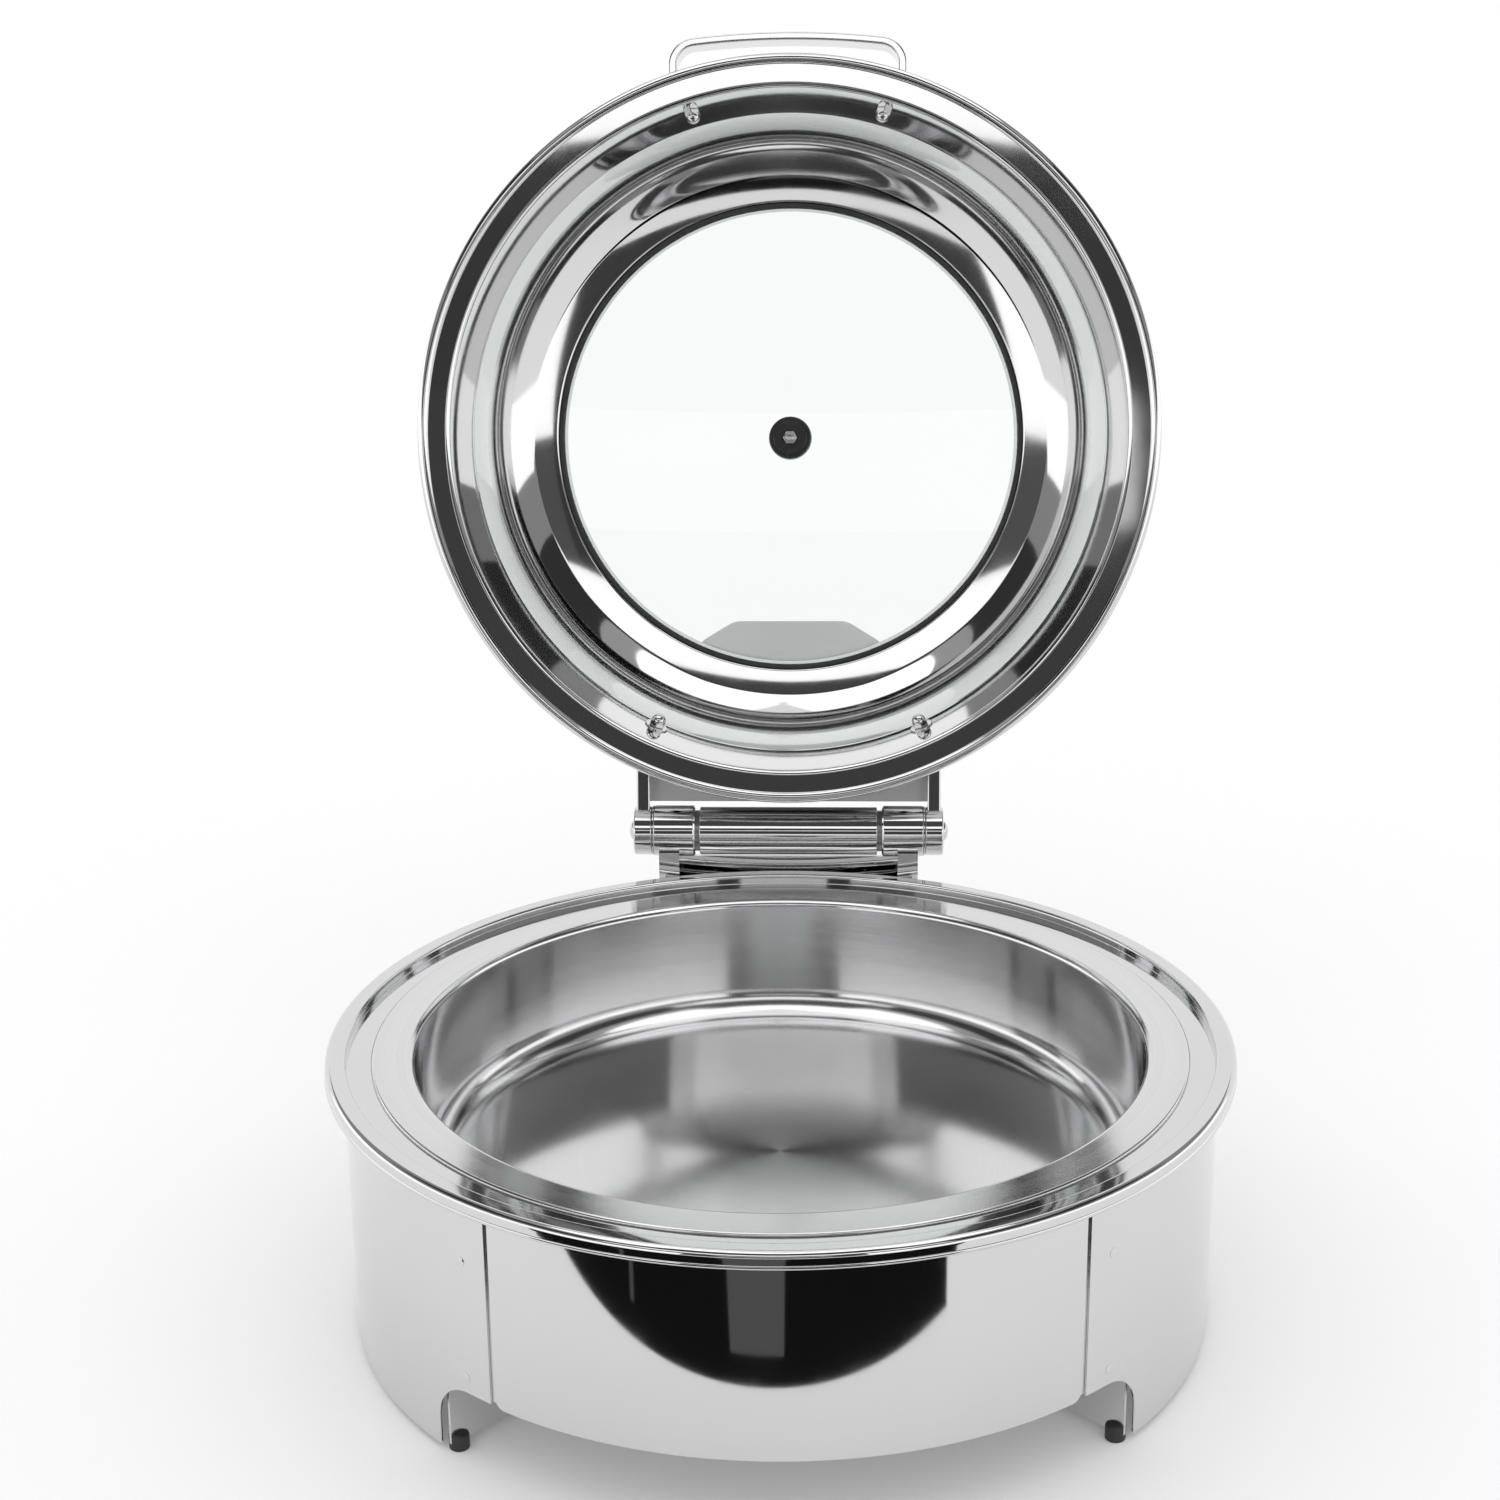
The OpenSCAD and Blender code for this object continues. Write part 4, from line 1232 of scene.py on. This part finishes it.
class CHAFER_OT_handle(bpy.types.Operator):
    """Bend the strap handle and lay its feet on the wall"""

    bl_idname = "chafer.handle"
    bl_label = "Handle"

    def execute(self, context):
        lid = context.scene.chafer_lid
        handle = context.scene.chafer_handle
        half = (handle.width - handle.strap) / 2
        low = handle.bolt_height - handle.height / 2
        foot_radius = wall_radius(lid, handle.bolt_height)
        leg_end = -math.sqrt((foot_radius + handle.strap / 2) ** 2 - half**2)
        bend = handle.corner - handle.strap / 2
        crown = handle.crown - handle.strap / 2
        centre = handle.crown - handle.reach
        fan = math.asin((half - bend) / (crown - bend))
        shoulder = centre - crown * math.cos(fan)
        steps = 12
        grip = [
            (crown * math.sin(turn), centre - crown * math.cos(turn))
            for turn in (fan * (2 * index / steps - 1) for index in range(steps + 1))
        ]
        slope = math.tan(fan)
        reach_out = half - grip[-1][0]
        corner_y = shoulder + slope * reach_out
        corners = [
            (-half, leg_end),
            (-half, corner_y, bend * 0.98),
            *grip[1:-1],
            (half, corner_y, bend * 0.98),
            (half, leg_end),
        ]
        piece = draw("strap_bent", corners, lay=plan)
        bpy.ops.mesh.extrude_region_move(TRANSFORM_OT_translate={"value": (0, 0, handle.height)})
        clean(piece)
        leave_edit()
        shift(piece, (0, 0, low))
        thicken(piece, handle.strap)
        foot_turn = math.radians(9.4)
        outer = math.asin((half + handle.strap / 2) / (foot_radius + handle.strap))
        feet = []
        for side in (-1, 1):
            start, stop = sorted((side * outer, side * (outer - foot_turn)))
            feet.append(wall_pad("strap_foot", lid, start, stop, low, low + handle.height, handle.strap))
        piece = join("lid_strap_handle", [piece, *feet])
        soften(piece, 1 * MM, 3)
        finish_on_lid(piece, lid, "mirror_steel", "lid_handle")
        return {"FINISHED"}


# ---- hinge -----------------------------------------------------------------------------


class CHAFER_OT_bracket_plate(bpy.types.Operator):
    """Bend the lid's bracket plate from the arms up over the dome to the window"""

    bl_idname = "chafer.bracket_plate"
    bl_label = "Bracket plate"

    def execute(self, context):
        lid = context.scene.chafer_lid
        hinge = context.scene.chafer_hinge
        base_y = HINGE.y - hinge.knuckle_radius - 2.3 * MM
        knee_y = base_y - 18 * MM
        arm_top = HINGE.z - lid.plane + hinge.arm_height / 2
        top = lid.glass_height + lid.glass + 4 * MM
        bend_y = lid.seat_radius + 1.5 * MM
        wide = hinge.knuckle_in + hinge.arm_inset + hinge.arm_thickness
        tongue = 57 * MM
        end = 34 * MM
        tip_y = 110 * MM
        rise = top - arm_top
        run = knee_y - bend_y
        tilt = math.atan2(rise, run)
        stretch = 1 / math.cos(tilt)
        flat_bend = knee_y - run * stretch
        brow = knee_y - 4 * MM * stretch
        shoulder = flat_bend + 12 * MM * stretch
        chin = flat_bend - (bend_y - tip_y) + 14 * MM
        round_corner = 12 * MM
        right = [
            (wide, base_y),
            (wide, brow),
            (tongue, shoulder, round_corner),
            (tongue, chin, round_corner),
            (end, chin - 14 * MM, round_corner),
        ]
        left = [(-corner[0], *corner[1:]) for corner in reversed(right)]
        piece = draw("lid_bracket_bent", right + left, lay=plan, closed=True)
        bpy.ops.mesh.edge_face_add()
        for fold in (knee_y, flat_bend):
            bpy.ops.mesh.select_all(action="SELECT")
            bpy.ops.mesh.bisect(plane_co=(0, fold, 0), plane_no=(0, 1, 0))
        pick(piece, lambda place: place.y < knee_y - 0.01 * MM)
        bpy.ops.transform.rotate(value=tilt, orient_axis="X", center_override=(0, knee_y, 0))
        pick(piece, lambda place: place.y < bend_y - 0.01 * MM)
        bpy.ops.transform.rotate(value=-tilt, orient_axis="X", center_override=(0, bend_y, rise))
        for at_y, at_z, radius in ((knee_y, 0, 4 * MM), (bend_y, rise, 6 * MM)):
            pick(piece, lambda co, y=at_y, z=at_z: abs(co.y - y) < 1e-5 and abs(co.z - z) < 1e-5)
            bpy.ops.mesh.bevel(offset=radius, segments=6, affect="EDGES", profile=0.5)
        clean(piece)
        leave_edit()
        shift(piece, (0, 0, arm_top + hinge.plate / 2))
        thicken(piece, hinge.plate)
        soften(piece, 0.5 * MM)
        finish_on_lid(piece, lid, "brushed_steel", "lid_bracket_plate")
        return {"FINISHED"}


class CHAFER_OT_lid_arms(bpy.types.Operator):
    """Cast the two lid arms, each with its knuckle and its pad on the lid's wall"""

    bl_idname = "chafer.lid_arms"
    bl_label = "Lid arms"

    def execute(self, context):
        lid = context.scene.chafer_lid
        hinge = context.scene.chafer_hinge
        rise = HINGE.z - lid.plane
        # An arm reaches this share of the wall's radius, because it stands off the centre line.
        beside = 0.895
        near_wall = wall_radius(lid, rise - hinge.arm_height / 2) * beside
        pad_half = math.radians(3.6)
        for side, name in ((-1, "left"), (1, "right")):
            knuckle = turned(
                "knuckle",
                [
                    (0, hinge.knuckle_in),
                    (hinge.knuckle_radius, hinge.knuckle_in, 0.8 * MM),
                    (hinge.knuckle_radius, hinge.knuckle_out, 1.2 * MM),
                    (0, hinge.knuckle_out),
                ],
                72,
            )
            rotate(knuckle, "Y", side * math.pi / 2)
            shift(knuckle, (0, HINGE.y, rise))
            deselect_all()
            bpy.ops.mesh.primitive_cube_add(size=1, location=(0, 0, 0))
            bar = bpy.context.object
            edit(bar)
            short = 4 * MM
            size = (hinge.arm_thickness, HINGE.y - near_wall - short, hinge.arm_height)
            bpy.ops.transform.resize(value=size)
            leave_edit()
            middle = hinge.knuckle_in + hinge.arm_inset + hinge.arm_thickness / 2
            shift(bar, (side * middle, (HINGE.y + near_wall - short) / 2, rise))
            centre = math.pi - side * hinge.bolt_angle
            pad = wall_pad(
                "arm_pad",
                lid,
                centre - pad_half,
                centre + pad_half,
                hinge.bolt_height - 8 * MM,
                lid.wall_height - 0.5 * MM,
                hinge.pad,
            )
            arm = join("arm", [bar, pad])
            soften(arm, 0.9 * MM, 3)
            piece = join(f"lid_arm_{name}_cast", [arm, knuckle])
            finish_on_lid(piece, lid, "mirror_steel", "lid_arm_" + name)
        return {"FINISHED"}


class CHAFER_OT_hinge_tube(bpy.types.Operator):
    """Turn the centre tube, the two sleeves and the bolts at the shaft's ends"""

    bl_idname = "chafer.hinge_tube"
    bl_label = "Hinge tube"

    def execute(self, context):
        hinge = context.scene.chafer_hinge
        steps = 96
        edge = 0.5 * MM
        inner = hinge.tube_radius - 1.5 * MM
        tube = turned(
            "hinge_centre_sleeve",
            [
                (inner, -hinge.tube_half, edge),
                (hinge.tube_radius, -hinge.tube_half, edge),
                (hinge.tube_radius, hinge.tube_half, edge),
                (inner, hinge.tube_half, edge),
            ],
            steps,
            closed=True,
        )
        along_hinge(tube)
        finish_piece(tube, "mirror_steel", "root", "hinge_centre_tube")
        for side, name in ((-1, "left"), (1, "right")):
            sleeve = turned(
                f"hinge_end_sleeve_{name}",
                [
                    (hinge.bush_radius, hinge.sleeve_in),
                    (hinge.sleeve_radius - 1.1 * MM, hinge.sleeve_in, 0.4 * MM),
                    (hinge.sleeve_radius, hinge.sleeve_in + 1.1 * MM, 0.5 * MM),
                    (hinge.sleeve_radius, hinge.sleeve_out, 0.7 * MM),
                    (hinge.bush_radius, hinge.sleeve_out),
                ],
                steps,
                closed=True,
            )
            along_hinge(sleeve, side)
            finish_piece(sleeve, "mirror_steel", "root", "hinge_sleeve_" + name)
        bolts = []
        for side in (-1, 1):
            head = 6 * MM
            out = hinge.knuckle_out
            bolt = turned(
                "shaft_bolt",
                [
                    (0, out - 12 * MM),
                    (2 * MM, out - 12 * MM),
                    (2 * MM, out),
                    (head, out, 0.3 * MM),
                    (head * 0.86, out + 1.6 * MM, 2.2 * MM),
                    (head * 0.45, out + 2.8 * MM, 3 * MM),
                    (0, out + 3 * MM),
                ],
                48,
            )
            along_hinge(bolt, side)
            bolts.append(bolt)
        group = join("shaft_bolt_heads", bolts)
        finish_piece(group, "fastener_steel", "lid", "shaft_bolts")
        return {"FINISHED"}


class CHAFER_OT_carried_parts(bpy.types.Operator):
    """Finish the parts whose engineering shape is shown as it is"""

    bl_idname = "chafer.carried_parts"
    bl_label = "Carried parts"

    def execute(self, context):
        slots = {part["node"]: part["material_slot"] for part in frame["record"]["subparts"]}
        for name, node in frame["nodes"].items():
            if node.hide_render:
                continue
            finish = slots[name]
            node.data.materials.clear()
            node.data.materials.append(finish_material(finish))
        return {"FINISHED"}


# ---- studio ----------------------------------------------------------------------------


def plain_material(name, base, glow):
    """A soft even surface that also glows by itself."""
    made = Finish(name)
    cloud = made.place.noise(3.0, 2.0)
    made.set(
        Base_Color=cloud.tint(shade(base, 0.985), base),
        Roughness=0.9,
        Specular_IOR_Level=0.0,
        Emission_Color=cloud.tint((0.985, 0.985, 0.985), (1.0, 1.0, 1.0)),
        Emission_Strength=glow,
    )
    return made.material


def unseen(board, material):
    """Lets a studio board show in reflections only."""
    board.data.materials.append(material)
    board.visible_camera = False
    board.visible_diffuse = False
    board.visible_shadow = False
    board.visible_transmission = False


def sky_band(name, level, low, high, start, stop):
    """Part of a dome round the chafer, between two elevations and two azimuths from the front."""
    reach = 2.2
    steps = 6
    corners = [
        (reach * math.cos(turn), reach * math.sin(turn))
        for turn in (low + (high - low) * index / steps for index in range(steps + 1))
    ]
    board = draw(name, corners)
    bpy.ops.mesh.spin(steps=24, angle=stop - start, center=(0, 0, 0), axis=(0, 0, 1))
    clean(board)
    leave_edit()
    face(board, (start + stop) / 2)
    shift(board, (0, 0, 0.3))
    unseen(board, plain_material(name, (0.0, 0.0, 0.0), level))


# Each board's brightness, its lower and upper elevation and its first and last azimuth in degrees.
SKY = (
    ("top_softbox", 1.7, 60, 89, -150, -50),
    ("top_softbox_right", 1.7, 60, 89, 50, 150),
    ("top_softbox_front", 1.7, 70, 89, -50, 50),
    ("back_softbox", 1.0, 20, 89, 150, 210),
    ("front_flag", 0.07, 41, 70, -44, 44),
    ("front_softbox", 1.5, 30, 41, -34, 34),
    ("camera_low", 0.06, 0, 15, -20, 20),
    ("camera_lamp", 0.8, 15, 20, -13, 13),
    ("camera_lamp_left", 0.06, 15, 20, -20, -13),
    ("camera_lamp_right", 0.06, 15, 20, 13, 20),
    ("camera_high", 0.05, 20, 30, -20, 20),
)

# Boards that stand on both sides, given on the right.
BOTH_SIDES = (
    ("flag", 0.04, 31, 51, 44, 118),
    ("high_flag", 0.4, 51, 60, 44, 118),
    ("rear_flag", 0.3, 31, 60, 118, 150),
    ("band", 0.3, 18, 31, 40, 150),
    ("window", 1.5, 0, 18, 20, 130),
    ("dark", 0.1, 18, 30, 20, 40),
)

# Flags on the floor in front: brightness, height and outline from the axis, in metres.
FLOOR = (
    ("dark_floor", 0.008, 0.0005, ((-0.32, -0.333), (0.2, -0.333), (3.0, -3.3), (-3.2, -3.3), (-3.2, -2.2))),
    ("floor_strip", 0.10, 0.001, ((-0.045, -0.36), (0.012, -0.36), (0.13, -2.4), (-0.55, -2.4))),
    ("floor_line", 0.08, 0.001, ((-0.172, -0.36), (-0.166, -0.36), (-1.3, -1.9), (-1.36, -1.9))),
)


class CHAFER_OT_studio(bpy.types.Operator):
    """Set the camera, the pale floor and the soft light"""

    bl_idname = "chafer.studio"
    bl_label = "Studio"

    def execute(self, context):
        studio = context.scene.chafer_studio
        bpy.ops.object.camera_add(location=studio.camera_place)
        camera = bpy.context.object
        aim = (
            Matrix.Rotation(studio.camera_turn, 3, "Z")
            @ Matrix.Rotation(math.pi / 2 - studio.camera_pitch, 3, "X")
            @ Matrix.Rotation(studio.camera_roll, 3, "Z")
        )
        camera.rotation_euler = aim.to_euler()
        camera.data.lens = studio.focal_length
        camera.data.sensor_width = 36.0
        camera.data.clip_start = 0.01
        context.scene.camera = camera
        context.scene.view_settings.view_transform = "Standard"

        deselect_all()
        bpy.ops.mesh.primitive_plane_add(size=60, location=(0, 0, 0))
        floor = bpy.context.object
        floor.name = "floor"
        floor.data.materials.append(plain_material("pale_table", studio.floor, 0.12))

        world = bpy.data.worlds.new("white_studio")
        context.scene.world = world
        world.use_nodes = True
        world.node_tree.nodes["Background"].inputs["Color"].default_value = (*studio.white, 1.0)

        for name, level, rise, outline in FLOOR:
            flag = draw(name, outline, lay=plan, closed=True)
            bpy.ops.mesh.edge_face_add()
            leave_edit()
            shift(flag, (0, 0, rise))
            unseen(flag, plain_material(name, (0.0, 0.0, 0.0), level))
        pairs = (
            (side + name, level, low, high, *sorted((turn * start, turn * stop)))
            for name, level, low, high, start, stop in BOTH_SIDES
            for side, turn in (("left_", -1), ("right_", 1))
        )
        for name, level, low, high, start, stop in (*SKY, *pairs):
            angles = (math.radians(value) for value in (low, high, start, stop))
            sky_band(name, level, *angles)
        return {"FINISHED"}


# ---- add-on ----------------------------------------------------------------------------

OPERATORS = (
    CHAFER_OT_studio,
    CHAFER_OT_aprons,
    CHAFER_OT_side_panels,
    CHAFER_OT_panel_rivets,
    CHAFER_OT_feet,
    CHAFER_OT_water_pan,
    CHAFER_OT_induction_plate,
    CHAFER_OT_food_pan,
    CHAFER_OT_lid_shell,
    CHAFER_OT_window,
    CHAFER_OT_knob,
    CHAFER_OT_lid_fasteners,
    CHAFER_OT_handle,
    CHAFER_OT_bracket_plate,
    CHAFER_OT_lid_arms,
    CHAFER_OT_hinge_tube,
    CHAFER_OT_carried_parts,
)


class CHAFER_PT_panel(bpy.types.Panel):
    """Lists the chafer's sizes and its building steps"""

    bl_label = "Round window chafer"
    bl_idname = "CHAFER_PT_panel"
    bl_space_type = "VIEW_3D"
    bl_region_type = "UI"
    bl_category = "Chafer"

    def draw(self, context):
        for name, group in GROUPS.items():
            box = self.layout.box()
            box.label(text=name.replace("_", " ").capitalize())
            for field in group.__annotations__:
                box.prop(getattr(context.scene, name), field)
        for operator in OPERATORS:
            self.layout.operator(operator.bl_idname)


def register():
    for group in GROUPS.values():
        bpy.utils.register_class(group)
    for operator in OPERATORS:
        bpy.utils.register_class(operator)
    bpy.utils.register_class(CHAFER_PT_panel)
    for name, group in GROUPS.items():
        setattr(bpy.types.Scene, name, PointerProperty(type=group))


def unregister():
    for name in GROUPS:
        delattr(bpy.types.Scene, name)
    bpy.utils.unregister_class(CHAFER_PT_panel)
    for operator in reversed(OPERATORS):
        bpy.utils.unregister_class(operator)
    for group in reversed(GROUPS.values()):
        bpy.utils.unregister_class(group)


def main():
    register()
    for operator in OPERATORS:
        family, action = operator.bl_idname.split(".")
        getattr(getattr(bpy.ops, family), action)()


if __name__ == "__main__":
    main()
